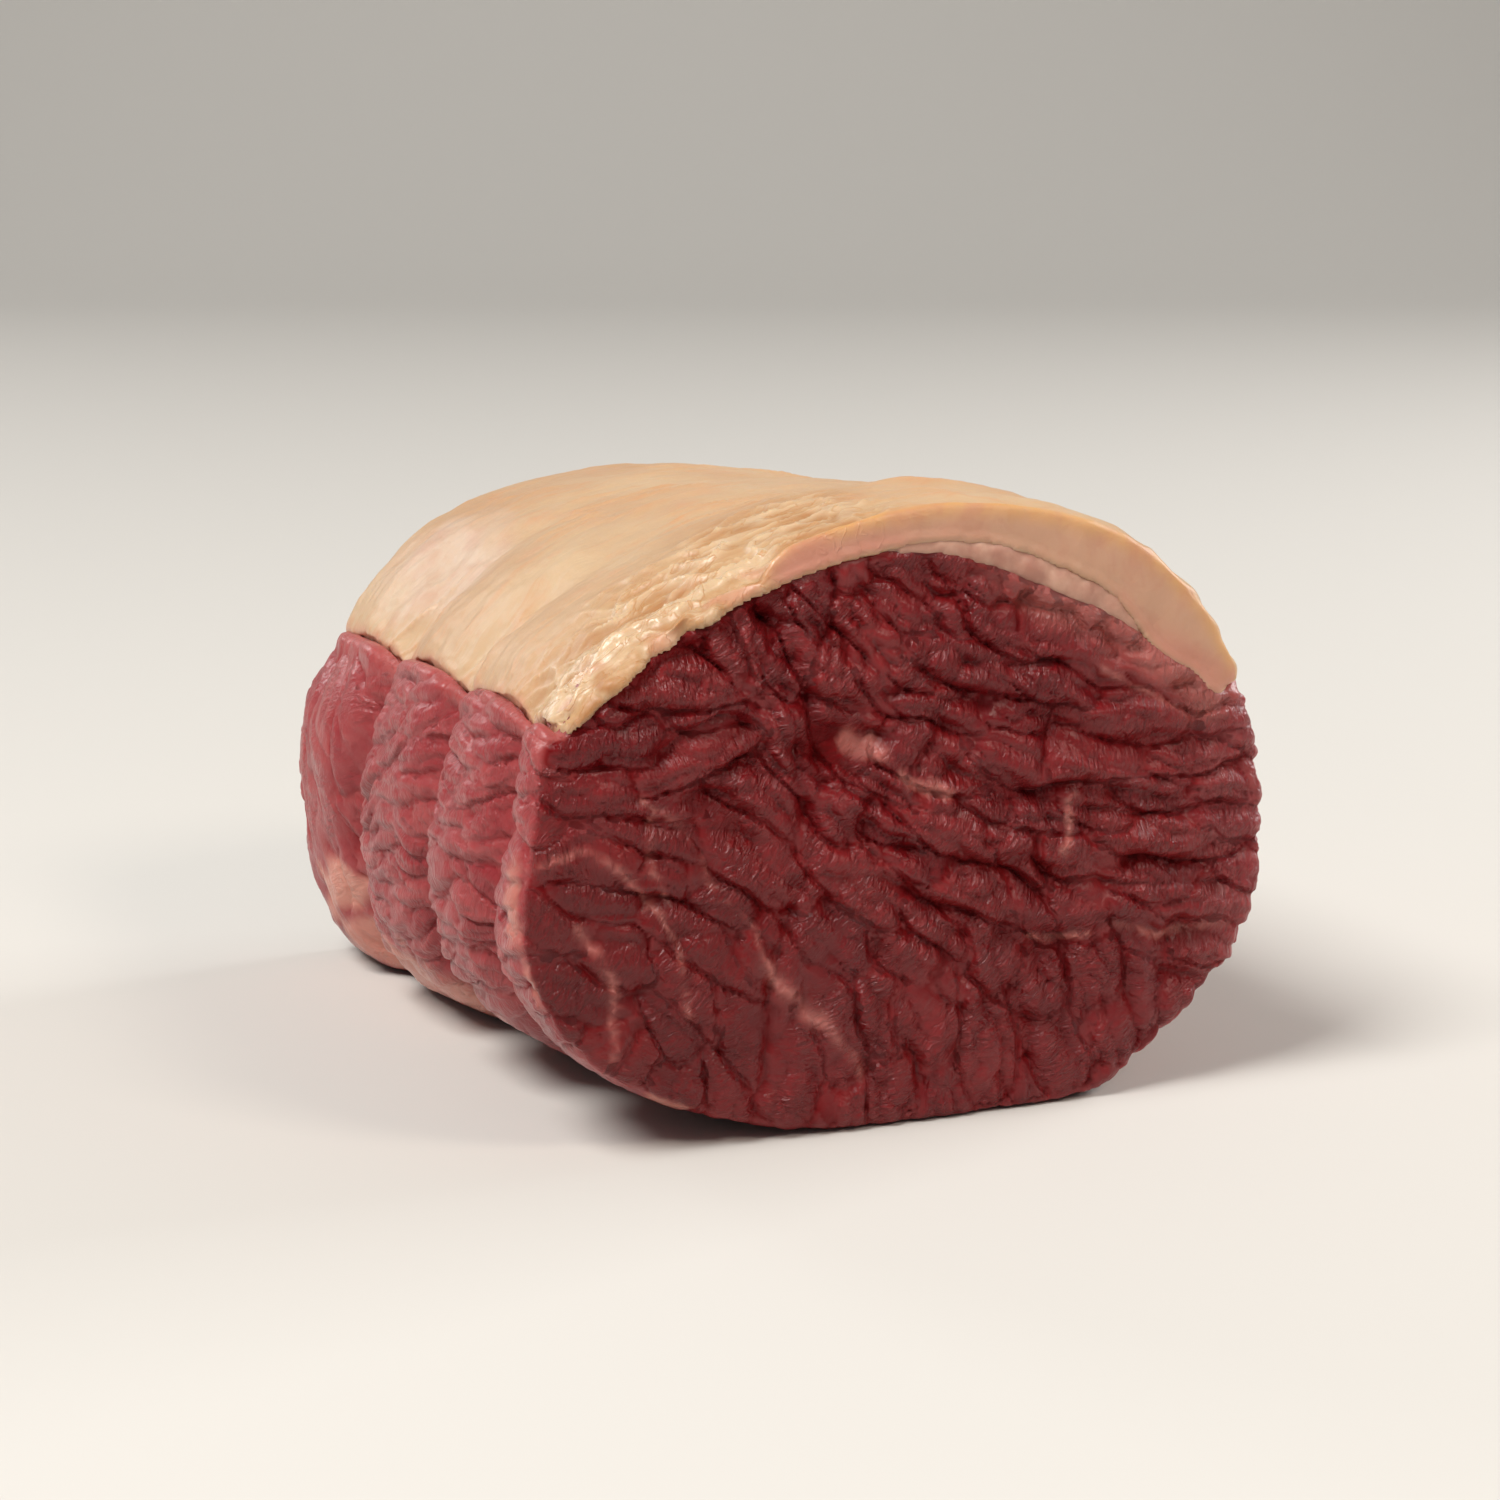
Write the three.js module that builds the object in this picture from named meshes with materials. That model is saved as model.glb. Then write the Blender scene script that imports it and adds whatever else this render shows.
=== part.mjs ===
// A raw beef roasting joint: a boned block of lean with a cap of fat over its top.
// It was rolled and strung, so its sides bulge between three string grooves, and both
// ends are cut faces. A thin layer of pale inner fat shows between the cap and the lean.
//
// Millimetres, +Z up. The joint lies on its flat underside at z = 0 with its length
// along Y. The tall cut end faces -Y, and the thick edge of the fat cap is on +X.

import * as THREE from 'three';

// ---- driving sizes ---------------------------------------------------------------

const LENGTH = 168;           // over the crowns of both cut ends
const WIDTH = 158;            // at the tall end
const HEIGHT = 123;           // at the tall end, over the fat
const CROWN = 3;              // how far a cut face domes out past its own rim
const GAP = 0.35;             // clearance between touching layers
const EDGE_GAP = 1.1;         // and past the fat cap's uneven edges

// The section across the joint, clockwise from the left lower edge of the fat, over the
// top and back along the underside: across and up at the tall end, then at the low end,
// as shares of half the width and of the height. Points below zero are pressed flat by
// the surface the joint lies on. The last number is the share of the length over which
// the first place turns into the second.
const SECTION = [
  [-0.90, 0.70, -0.825, 0.60, 1],        // left edge of the fat cap
  [-0.52, 0.895, -0.56, 0.79, 1],
  [0.06, 1.00, 0.00, 0.865, 1],          // top of the joint
  [0.55, 0.94, 0.51, 0.82, 1],
  [0.80, 0.815, 0.76, 0.715, 1],
  [0.925, 0.675, 0.875, 0.593, 1],       // right edge of the fat cap
  [1.00, 0.505, 0.935, 0.447, 1],
  [1.008, 0.335, 0.955, 0.30, 1],        // widest on the right
  [0.915, 0.195, 0.885, 0.163, 1],
  [0.745, 0.095, 0.76, 0.065, 1],
  [0.52, -0.01, 0.57, -0.01, 1],         // right edge of the flat underside
  [-0.13, -0.012, -0.735, -0.012, 0.85],  // left edge of the flat underside
  [-0.55, 0.055, -0.87, 0.05, 0.85],
  [-0.83, 0.17, -0.94, 0.16, 0.85],
  [-0.98, 0.325, -0.955, 0.29, 1],       // widest on the left
  [-0.955, 0.52, -0.955, 0.46, 1],
];
const CAP_START = 0;          // places on the section, counted in its points
const SECTION_TOP = 2;
const CAP_END = 5;
const INNER_START = 1.75;
const INNER_END = 3.75;

// Fat thickness over the section points CAP_START to CAP_END: a thin flap on the left,
// full over the crown and deepest on the right shoulder.
const CAP_THICKNESS = [2.8, 5, 6.2, 10, 13, 6];
const INNER_THICKNESS = 5;    // inner fat, at the middle of its lens
const INNER_EDGE = 0.8;       // and at its blunt edges

const GROOVES = [-57, -14, 36];   // y of each string groove at half height
const GROOVE_LEAN = -0.2;         // how far a groove moves along y for each mm up
const GROOVE_DEPTH = 4.5;
const GROOVE_WIDTH = 7;           // half width at 1/e of the depth
const GROOVE_ON_TOP = 0.3;        // share of the depth that the fat over the top keeps
const GROOVE_SCALLOP = 3.5;       // how far the fat's left edge hangs lower in a groove
const FRONT_FLAP = 2.5;           // and how far it hangs lower at the tall end

const RIM_INSET = 3;              // rounding of the cut ends, across the section
const RIM_LENGTH = 9;             // and along the joint

const PIT = { x: -14, z: 77, depth: 4, radius: 5 };   // hollow in the tall cut face

// ---- resolution ------------------------------------------------------------------

const CAP_STEP = 0.25;        // across the fat, counted in section points
const REST_STEPS = 34;        // round the rest of the section
const STATION_PITCH = 6;      // along the joint
const FACE_RINGS = 7;         // from the middle of a cut face to its rim
const RIM_STATIONS = [0, 1.2, 3.6];

// ---- section ---------------------------------------------------------------------

const HALF_LENGTH = LENGTH / 2 - CROWN;   // to the rim of a cut face
const MIDDLE_Z = HEIGHT / 2;
const POINTS = SECTION.length;

const { lerp, smoothstep } = THREE.MathUtils;

/** The outline of the section at a station, before the grooves draw it in. */
function outlineAt(y) {
  const along = (y + HALF_LENGTH) / (2 * HALF_LENGTH);
  const points = SECTION.map(([x, z, farX, farZ, reach]) => {
    const t = Math.min(1, along / reach);
    return new THREE.Vector3((lerp(x, farX, t) * WIDTH) / 2, 0, lerp(z, farZ, t) * HEIGHT);
  });
  return new THREE.CatmullRomCurve3(points, true, 'centripetal');
}

const POINT_SPACING = outlineAt(0).getLength() / POINTS;   // mean, in mm

/** 1 in the bottom of a string groove, falling to 0 on the bulges beside it. */
function grooveShare(y, z) {
  const shares = GROOVES.map((at) => {
    const offset = y - at - GROOVE_LEAN * (z - MIDDLE_Z);
    return Math.exp(-((offset / GROOVE_WIDTH) ** 2));
  });
  return Math.max(...shares);
}

/** How far the rounded rim of a cut end draws the section in at a station. */
function rimInset(y) {
  const fromEnd = Math.min(1, (HALF_LENGTH - Math.abs(y)) / RIM_LENGTH);
  return RIM_INSET * (1 - Math.sqrt(1 - (1 - fromEnd) ** 2));
}

/** A point of the outside at place k of the outline, sunk by depth into the joint. */
function skinPoint(outline, k, y, depth = 0) {
  const share = THREE.MathUtils.euclideanModulo(k, POINTS) / POINTS;
  const point = outline.getPoint(share);
  const heading = outline.getTangent(share);
  const normal = new THREE.Vector2(-heading.z, heading.x).normalize();
  const sideways = Math.max(GROOVE_ON_TOP, Math.abs(normal.x));
  const inset = GROOVE_DEPTH * sideways * grooveShare(y, point.z) + rimInset(y) + depth;
  return new THREE.Vector2(
    point.x - normal.x * inset,
    Math.max(0, point.z - normal.y * inset),
  );
}

/** The point's place in the joint: the ends dome out, most of all at mid face. */
function place(point, y) {
  const across = point.x / (WIDTH / 2);
  const up = (point.y - MIDDLE_Z) / MIDDLE_Z;
  const crown = CROWN * Math.max(0, 1 - across ** 2 - up ** 2);
  const push = crown * (y / HALF_LENGTH) ** 3;
  return new THREE.Vector3(point.x, y + push, point.y);
}

/** Stations along the joint, closer together where the rims round over. */
function stations() {
  const inner = HALF_LENGTH - RIM_STATIONS.at(-1) - STATION_PITCH / 2;
  const count = Math.round((2 * inner) / STATION_PITCH);
  const middle = Array.from({ length: count + 1 }, (_, i) => lerp(-inner, inner, i / count));
  const front = RIM_STATIONS.map((d) => d - HALF_LENGTH);
  const back = RIM_STATIONS.map((d) => HALF_LENGTH - d).reverse();
  return [...front, ...middle, ...back];
}

// ---- layers ----------------------------------------------------------------------

/** Left edge of the fat at a station: it hangs lower in each groove and at the front. */
function capStart(y) {
  const flap = FRONT_FLAP * (1 - smoothstep(y, -HALF_LENGTH, -HALF_LENGTH * 0.6));
  const drop = GROOVE_SCALLOP * grooveShare(y, HEIGHT * SECTION[CAP_START][1]) + flap;
  return CAP_START - drop / POINT_SPACING;
}

/** Thickness of the fat cap at place k of the section. */
function capThickness(k) {
  const spot = THREE.MathUtils.clamp(k, CAP_START, CAP_END);
  const i = Math.min(CAP_THICKNESS.length - 2, Math.floor(spot));
  return lerp(CAP_THICKNESS[i], CAP_THICKNESS[i + 1], smoothstep(spot - i, 0, 1));
}

/** Thickness of the inner fat at place k: a lens with blunt edges. */
function innerThickness(k) {
  const u = (k - INNER_START) / (INNER_END - INNER_START);
  return u < 0 || u > 1 ? 0 : lerp(INNER_EDGE, INNER_THICKNESS, Math.sin(Math.PI * u));
}

/** Depth of the lean's surface below the skin at place k under the cap. */
function leanDepth(k) {
  const inner = innerThickness(k);
  return capThickness(k) + GAP + (inner > 0 ? inner + GAP : 0);
}

const span = (from, to, steps) =>
  Array.from({ length: steps + 1 }, (_, i) => lerp(from, to, i / steps));

/** Places across the fat that every layer shares, so that their faces run side by side. */
const sharedPlaces = (from, to) => span(from, to, Math.round((to - from) / CAP_STEP));

/** Closed section of a layer that lies between two depths at the given places. */
function layerSection(y, places, outerDepth, innerDepth) {
  const outline = outlineAt(y);
  const outer = places.map((k) => skinPoint(outline, k, y, outerDepth(k)));
  const inner = places.map((k) => skinPoint(outline, k, y, innerDepth(k))).reverse();
  return [...outer, ...inner];
}

/** Places across the fat cap at a station, from its uneven left edge. */
const capPlaces = (y) => [capStart(y), ...sharedPlaces(CAP_START + CAP_STEP, CAP_END)];

/** Closed section of the lean: under the cap, then round the bare sides and underside. */
function leanSection(y) {
  const outline = outlineAt(y);
  const edge = EDGE_GAP / POINT_SPACING;
  const start = capStart(y) - edge;
  const end = CAP_END + edge;
  const under = [start, ...capPlaces(y), end];
  const covered = under.map((k) => skinPoint(outline, k, y, leanDepth(k)));
  const bare = span(end, POINTS + start, REST_STEPS).map((k) => skinPoint(outline, k, y));
  return [...covered, ...bare];
}

// ---- solids ----------------------------------------------------------------------

/** Two triangles for each patch between neighbouring rings, split on its short diagonal. */
function wallFaces(points, size) {
  const faces = [];
  for (let start = 0; start < points.length - size; start += size) {
    for (let i = 0; i < size; i += 1) {
      const a = start + i;
      const b = start + ((i + 1) % size);
      const c = b + size;
      const d = a + size;
      const rising = points[a].distanceTo(points[c]) < points[b].distanceTo(points[d]);
      faces.push(...(rising ? [a, b, c, a, c, d] : [a, b, d, b, c, d]));
    }
  }
  return faces;
}

function solidGeometry(points, faces) {
  const geometry = new THREE.BufferGeometry().setFromPoints(points);
  geometry.setIndex(faces);
  geometry.computeVertexNormals();
  return geometry;
}

/** A layer as a solid: its sections joined along the joint, and a strip over each end. */
function layerSolid(sectionAt) {
  const places = stations();
  const rings = places.map((y) => sectionAt(y).map((point) => place(point, y)));
  const size = rings[0].length;
  const points = rings.flat();
  const faces = wallFaces(points, size);
  const last = points.length - size;
  for (let i = 0; i < size / 2 - 1; i += 1) {
    const j = size - 1 - i;
    faces.push(i, j, i + 1, i + 1, j, j - 1);
    faces.push(last + i, last + i + 1, last + j, last + i + 1, last + j - 1, last + j);
  }
  return solidGeometry(points, faces);
}

/** Rings that shrink a cut face's rim to its middle, hollowed by the pit on the front. */
function faceRings(rim, y, middle) {
  return span(1, FACE_RINGS, FACE_RINGS - 1).slice(0, -1).map((ring) => {
    const share = ring / FACE_RINGS;
    return rim.map((point) => {
      const spot = point.clone().lerp(middle, 1 - share);
      const seat = place(spot, y);
      if (y < 0) {
        const away = Math.hypot(spot.x - PIT.x, spot.y - PIT.z) / PIT.radius;
        seat.y += PIT.depth * Math.exp(-(away ** 2));
      }
      return seat;
    });
  });
}

/** The lean as a solid: side walls, and both cut faces built up in rings. */
function leanSolid() {
  const places = stations();
  const sections = places.map(leanSection);
  const walls = sections.map((section, i) => section.map((point) => place(point, places[i])));
  const middleAt = (y) => {
    const top = outlineAt(y).getPoint(SECTION_TOP / POINTS);
    return new THREE.Vector2(0, top.z / 2);
  };
  const [frontY, backY] = [places[0], places.at(-1)];
  const front = faceRings(sections[0], frontY, middleAt(frontY));
  const back = faceRings(sections.at(-1), backY, middleAt(backY)).reverse();
  const rings = [...front, ...walls, ...back];
  const size = walls[0].length;
  const points = rings.flat();
  const faces = wallFaces(points, size);
  const last = points.length - size;
  const frontPole = points.push(place(middleAt(frontY), frontY)) - 1;
  const backPole = points.push(place(middleAt(backY), backY)) - 1;
  for (let i = 0; i < size; i += 1) {
    const next = (i + 1) % size;
    faces.push(frontPole, next, i);
    faces.push(backPole, last + i, last + next);
  }
  return solidGeometry(points, faces);
}

const fatCapSolid = () => layerSolid((y) => layerSection(
  y,
  capPlaces(y),
  () => 0,
  capThickness,
));

const innerFatSolid = () => layerSolid((y) => layerSection(
  y,
  sharedPlaces(INNER_START, INNER_END),
  (k) => capThickness(k) + GAP,
  (k) => capThickness(k) + GAP + innerThickness(k),
));

// ---- the joint -------------------------------------------------------------------

function piece(name, geometry, color, roughness) {
  const material = new THREE.MeshStandardMaterial({ color, roughness, metalness: 0 });
  const mesh = new THREE.Mesh(geometry, material);
  mesh.name = name;
  return mesh;
}

const group = new THREE.Group();
group.add(
  piece('lean', leanSolid(), '#7a2f2e', 0.4),
  piece('fat_cap', fatCapSolid(), '#e0bf97', 0.45),
  piece('inner_fat', innerFatSolid(), '#bd8772', 0.45),
);

// The origin is under the middle of the joint, so the model is centred in X and Y.
const box = new THREE.Box3().setFromObject(group);
const centre = box.getCenter(new THREE.Vector3());
group.position.set(-centre.x, -centre.y, -box.min.z);
group.updateMatrixWorld(true);

export default group;
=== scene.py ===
# %% [markdown]
# # A raw beef roasting joint
#
# The real object is a block of raw muscle under a cap of cream fat. A butcher rolled and
# strung it, so its sides bulge between soft grooves, and cut both ends to flat faces. Three
# separate layers show at those faces: the lean, the fat cover and a thin lens of pinkish
# inner fat between them.
#
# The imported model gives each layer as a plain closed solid. This lesson turns each one into
# a dense mesh, models the muscle bundles, creases and folds in it, and gives it a
# procedural finish. Lengths are in millimetres until they go into a mesh.

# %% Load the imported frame
import math

import bmesh
import bpy
import numpy as np
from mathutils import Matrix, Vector
from mathutils.bvhtree import BVHTree
from mathutils.kdtree import KDTree


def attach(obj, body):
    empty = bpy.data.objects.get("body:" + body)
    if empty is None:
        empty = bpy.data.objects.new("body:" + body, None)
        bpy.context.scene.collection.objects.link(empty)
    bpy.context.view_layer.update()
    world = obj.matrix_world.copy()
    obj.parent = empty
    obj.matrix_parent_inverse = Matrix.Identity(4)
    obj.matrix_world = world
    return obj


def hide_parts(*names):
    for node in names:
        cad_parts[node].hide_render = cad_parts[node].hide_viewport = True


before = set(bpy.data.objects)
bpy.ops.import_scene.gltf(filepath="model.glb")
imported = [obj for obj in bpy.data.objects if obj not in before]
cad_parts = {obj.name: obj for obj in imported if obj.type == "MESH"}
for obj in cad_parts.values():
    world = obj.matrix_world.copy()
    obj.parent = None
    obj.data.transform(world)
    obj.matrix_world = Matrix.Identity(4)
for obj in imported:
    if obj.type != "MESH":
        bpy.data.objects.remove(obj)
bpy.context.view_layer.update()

MM = 0.001
print("nodes:", sorted(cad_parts))

# %% [markdown]
# ## The camera
#
# A joint is photographed from a little above its cut face, with a long lens, so that its
# height and its length both read. The camera stands 0.7 m in front of the joint and to its
# left, 218 mm up, and looks down by 12.6 degrees.

# %% Camera
CAMERA_PLACE = Vector((-270.9, -663.7, 218.0)) * MM
CAMERA_HEADING = math.radians(22.2)   # from +Y towards +X
CAMERA_PITCH = math.radians(12.64)    # down
LENS = 84                             # mm, on a 36 mm wide sensor

lens = bpy.data.cameras.new("camera")
lens.lens = LENS
lens.sensor_width = 36
lens.clip_start = 0.01
camera = bpy.data.objects.new("camera", lens)
bpy.context.collection.objects.link(camera)
sight = Vector((
    math.sin(CAMERA_HEADING) * math.cos(CAMERA_PITCH),
    math.cos(CAMERA_HEADING) * math.cos(CAMERA_PITCH),
    -math.sin(CAMERA_PITCH),
))
camera.location = CAMERA_PLACE
camera.rotation_euler = sight.to_track_quat("-Z", "Y").to_euler()
bpy.context.scene.camera = camera
print("camera looks along", [round(v, 3) for v in sight])

# %% [markdown]
# ## Points as arrays
#
# Each layer has some hundred thousand points, too many to move one by one in Python. So
# they are read into a numpy array, shaped there all together, and written back. Values
# that a finish needs at each point, such as how deep in a crease it lies, are stored on
# the mesh as named attributes.

# %% Reading and writing points
def read_points(piece):
    """A piece's points and outward directions, as arrays of rows in millimetres."""
    count = len(piece.data.vertices)
    points = np.empty(count * 3, np.float32)
    facing = np.empty(count * 3, np.float32)
    piece.data.vertices.foreach_get("co", points)
    piece.data.vertex_normals.foreach_get("vector", facing)
    return points.reshape(-1, 3).astype(float) / MM, facing.reshape(-1, 3).astype(float)


def write_points(piece, points):
    """Moves a piece's points to the rows given in millimetres."""
    piece.data.vertices.foreach_set("co", (points * MM).astype(np.float32).ravel())
    piece.data.update()


def paint(piece, name, values):
    """Stores one number or one row of three for each point as a named attribute."""
    kind = "FLOAT" if values.ndim == 1 else "FLOAT_VECTOR"
    layer = piece.data.attributes.new(name, kind, "POINT")
    field = "value" if values.ndim == 1 else "vector"
    layer.data.foreach_set(field, values.astype(np.float32).ravel())


def percent(values):
    """The mean of the values, as a percentage."""
    return round(100 * float(values.mean()), 1)


def unit(rows):
    """The rows scaled to length 1."""
    return rows / np.maximum(np.linalg.norm(rows, axis=1, keepdims=True), 1e-9)


# %% [markdown]
# Two curves do nearly all the blending below. An ease goes from 0 to 1 between two values,
# and is the soft form of a threshold. A hump is 1 at a place and fades away round it.

# %% Two curves
def ease(first, last, value):
    """0 at first, 1 at last and an even ease between them; first may be the greater."""
    share = np.clip((value - first) / (last - first), 0, 1)
    return share * share * (3 - 2 * share)


def hump(*gaps):
    """1 where every gap is 0, about a third where their squares add up to 1, 0 far away."""
    return np.exp(-sum(gap ** 2 for gap in gaps))


print("a quarter of the way an ease is", float(ease(0, 4, 1)))

# %% [markdown]
# ## Unevenness
#
# No surface of meat is regular, so every step below is varied by smooth gradient noise:
# each corner of a grid gets a random direction, and a point blends the eight corners round
# it. The tables are seeded, and a start number moves the pattern, so that two uses differ.

# %% Smooth noise
dice = np.random.default_rng(23)
CORNER_DIRECTIONS = unit(dice.normal(size=(256, 3)))
SHUFFLE = dice.permutation(256)


def noise(points, size, start):
    """Smooth noise from about -1 to 1; size is its wavelength in mm, one or three numbers."""
    spot = points / np.asarray(size, float) + start * 17.31
    cell = np.floor(spot).astype(np.int64)
    part = spot - cell
    blend = part * part * part * (part * (part * 6 - 15) + 10)
    total = np.zeros(len(points))
    for corner in np.ndindex(2, 2, 2):
        x, y, z = (cell + corner).T
        pick = SHUFFLE[(SHUFFLE[(SHUFFLE[x & 255] + y) & 255] + z) & 255]
        away = part - corner
        share = np.prod(np.where(corner, blend, 1 - blend), axis=1)
        total += share * np.einsum("ij,ij->i", CORNER_DIRECTIONS[pick], away)
    return total * 1.6


def drift(points, size, reach, start):
    """The points moved about by up to roughly reach, so that straight edges wander."""
    moves = [noise(points, size, start + k) for k in range(3)]
    return points + reach * np.stack(moves, axis=1)


sample = noise(dice.uniform(0, 90, (8000, 3)), 8, 1)
print("noise spans", round(float(sample.min()), 2), "to", round(float(sample.max()), 2))

# %% [markdown]
# ## Dense, even meshes
#
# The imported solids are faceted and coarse. Rounding them and then remeshing on a fine grid
# gives an even mesh of squares that takes sculpting anywhere; a few smoothing passes lose
# what is left of the facets. Subdividing alone would leave long thin faces.

# %% A dense copy of each layer
def settle(piece):
    """Applies a piece's modifiers to its mesh."""
    seen = bpy.context.evaluated_depsgraph_get()
    shaped = bpy.data.meshes.new_from_object(piece.evaluated_get(seen))
    piece.modifiers.clear()
    piece.data = shaped
    piece.data.name = piece.name


def dense_copy(name, node, grid, passes):
    """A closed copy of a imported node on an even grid, in mm, with its facets smoothed away."""
    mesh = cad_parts[node].data.copy()
    mesh.materials.clear()
    welded = bmesh.new()
    welded.from_mesh(mesh)
    bmesh.ops.remove_doubles(welded, verts=welded.verts, dist=0.001 * MM)
    welded.to_mesh(mesh)
    welded.free()
    piece = bpy.data.objects.new(name, mesh)
    bpy.context.collection.objects.link(piece)
    piece.modifiers.new("rounding", "SUBSURF").levels = 2
    even = piece.modifiers.new("even grid", "REMESH")
    even.mode = "VOXEL"
    even.voxel_size = grid * MM
    relaxed = piece.modifiers.new("relaxed", "SMOOTH")
    relaxed.factor = 0.5
    relaxed.iterations = passes
    settle(piece)
    print(name, "has", len(piece.data.vertices), "points")
    return piece


LEAN_GRID, FAT_GRID = ((0.62, 0.72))     # mm
INNER_GRID = 0.8                                                     # mm
lean = dense_copy("lean_meat", "lean", LEAN_GRID, 30)
fat = dense_copy("fat_cover", "fat_cap", FAT_GRID, 14)
inner = dense_copy("inner_fat_layer", "inner_fat", INNER_GRID, 6)

# %% [markdown]
# ## Which way the muscle bundles lie
#
# Lean meat is made of bundles of fibres. Where a knife crosses them they swell out of the
# cut face as rounded lobes with creases between them. The lobes lie in a direction of
# their own in each part of the face, so a small map gives, at a few places on it, the
# lobes' slope, length, width and how far they stand out. Between the places the map is
# blended. The other cut face uses the same map, mirrored.

# %% Map of the lobes on a cut face
# across and up in mm, slope in degrees, length, width, height of the lobes in mm
LOBE_MAP = np.array([
    (-56, 90, 15, 20, 8, 1.7), (-30, 101, -62, 9, 6, 1.5), (-45, 79, 10, 19, 8, 2.0),
    (-56, 63, -5, 17, 8, 1.5), (-24, 72, -60, 13, 8, 2.2), (-43, 58, -30, 19, 8, 1.6),
    (-58, 42, -22, 17, 9, 1.4), (-28, 46, -45, 15, 9, 1.6), (-9, 95, -45, 9, 6, 1.5),
    (8, 103, -42, 9, 6, 1.3), (28, 97, -22, 14, 7, 1.5), (50, 88, -17, 18, 7, 1.5),
    (9, 82, -20, 13, 7, 1.7), (39, 73, -14, 18, 7, 1.8), (62, 66, -6, 16, 6, 1.5),
    (2, 68, -25, 10, 6, 1.6), (18, 54, -22, 13, 8, 1.8), (51, 54, -10, 18, 8, 2.0),
    (62, 42, -14, 17, 7, 1.7), (-4, 44, -38, 14, 9, 1.8), (20, 33, -45, 14, 9, 1.7),
    (44, 22, -72, 14, 9, 1.5), (18, 12, -78, 14, 9, 1.5), (-4, 14, -68, 15, 9, 1.5),
    (-25, 17, -80, 15, 9, 1.6), (-45, 22, -55, 15, 9, 1.5),
], float)


def lobes_on_face(across, up):
    """Slope in radians, length, width and height of the lobes at places on a cut face."""
    gap = (across[:, None] - LOBE_MAP[:, 0]) ** 2 + (up[:, None] - LOBE_MAP[:, 1]) ** 2
    weight = 1 / (gap + 9) ** 2
    weight /= weight.sum(axis=1, keepdims=True)
    twice = np.radians(2 * LOBE_MAP[:, 2])
    slope = 0.5 * np.arctan2(weight @ np.sin(twice), weight @ np.cos(twice))
    return slope, weight @ LOBE_MAP[:, 3], weight @ LOBE_MAP[:, 4], weight @ LOBE_MAP[:, 5]


mid_face = lobes_on_face(np.zeros(1), np.full(1, 60.0))
print("slope, length, width, height mid-face:", [round(float(v[0]), 2) for v in mid_face])

# %% [markdown]
# ## String grooves
#
# The string is gone, but the meat still holds its mark: three soft grooves round the
# joint, a little askew, with bulges between them. The sides get them as a share, 1 at the
# bottom of a groove, that each later step can ask for.

# %% Grooves
GROOVES = (-57, -14, 36)     # along the joint at half height, mm
GROOVE_LEAN = 0.2            # mm along for each mm up
GROOVE_REACH = 7             # mm, half width
MIDDLE_UP = 61.5             # mm, half of the height


def groove_share(points):
    """1 in the bottom of a string groove, falling to 0 on the bulges."""
    askew = GROOVE_LEAN * (points[:, 2, None] - MIDDLE_UP)
    gap = points[:, 1, None] - np.array(GROOVES) + askew
    return hump(gap / GROOVE_REACH).max(axis=1)


edge_of_groove = np.array([(70, GROOVES[1] + GROOVE_REACH, MIDDLE_UP)])
print("share at a groove's edge:", round(float(groove_share(edge_of_groove)[0]), 2))

# %% [markdown]
# ## Lobes all round the joint
#
# The sides are not cut: there the same bundles are seen from outside, wrinkled along the
# joint between the string grooves, and standing upright on the last bulge. So each place
# gets its lobe's direction and size from the map on the cut faces, and from a slow noise
# on the sides.

# %% How the lobe at a place lies
CUT = 0.6                                                # surfaces facing the ends more are cut
SIDE_LENGTH, SIDE_WIDTH, SIDE_HEIGHT = 18, 6.4, 0.95     # mm


def lobe_frames(points, facing):
    """Each place's lobe: direction along it, length, width and height, in mm."""
    back = facing[:, 1] > CUT
    face = np.abs(facing[:, 1]) > CUT
    mirrored = np.where(back, -points[:, 0], points[:, 0])
    slope, length, width, height = lobes_on_face(mirrored, points[:, 2])
    slope = np.where(back, -slope, slope) + 0.13 * dice.normal(size=len(points))
    on_face = np.stack([np.cos(slope), np.zeros(len(points)), np.sin(slope)], axis=1)
    last_bulge = ease(38, 46, points[:, 1])[:, None]
    rising = 0.8 * noise(points, 18, 31)
    wander = np.stack([np.zeros(len(points)), np.ones(len(points)), rising], axis=1)
    on_side = wander * (1 - last_bulge) + last_bulge * np.array([0.1, 0.4, 1.0])
    along = np.where(face[:, None], on_face, on_side)
    along = unit(along - facing * np.einsum("ij,ij->i", along, facing)[:, None])
    last_bulge = last_bulge[:, 0]
    under = ease(0.5, 0.9, -facing[:, 2])
    length = np.where(face, length * 1.1, SIDE_LENGTH + 4 * last_bulge)
    width = np.where(face, width * 1.2, SIDE_WIDTH + 4 * last_bulge + 3 * under)
    height = np.where(face, height, (SIDE_HEIGHT - 0.3 * last_bulge) * (1 - 0.5 * under))
    return along, length, width, height


# %% [markdown]
# Lobe centres are thrown onto the surface at random, and one is kept only if it is not too
# near another, measured with its own length and width. A regular grid would be quicker,
# but the eye finds its rows at once.

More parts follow.
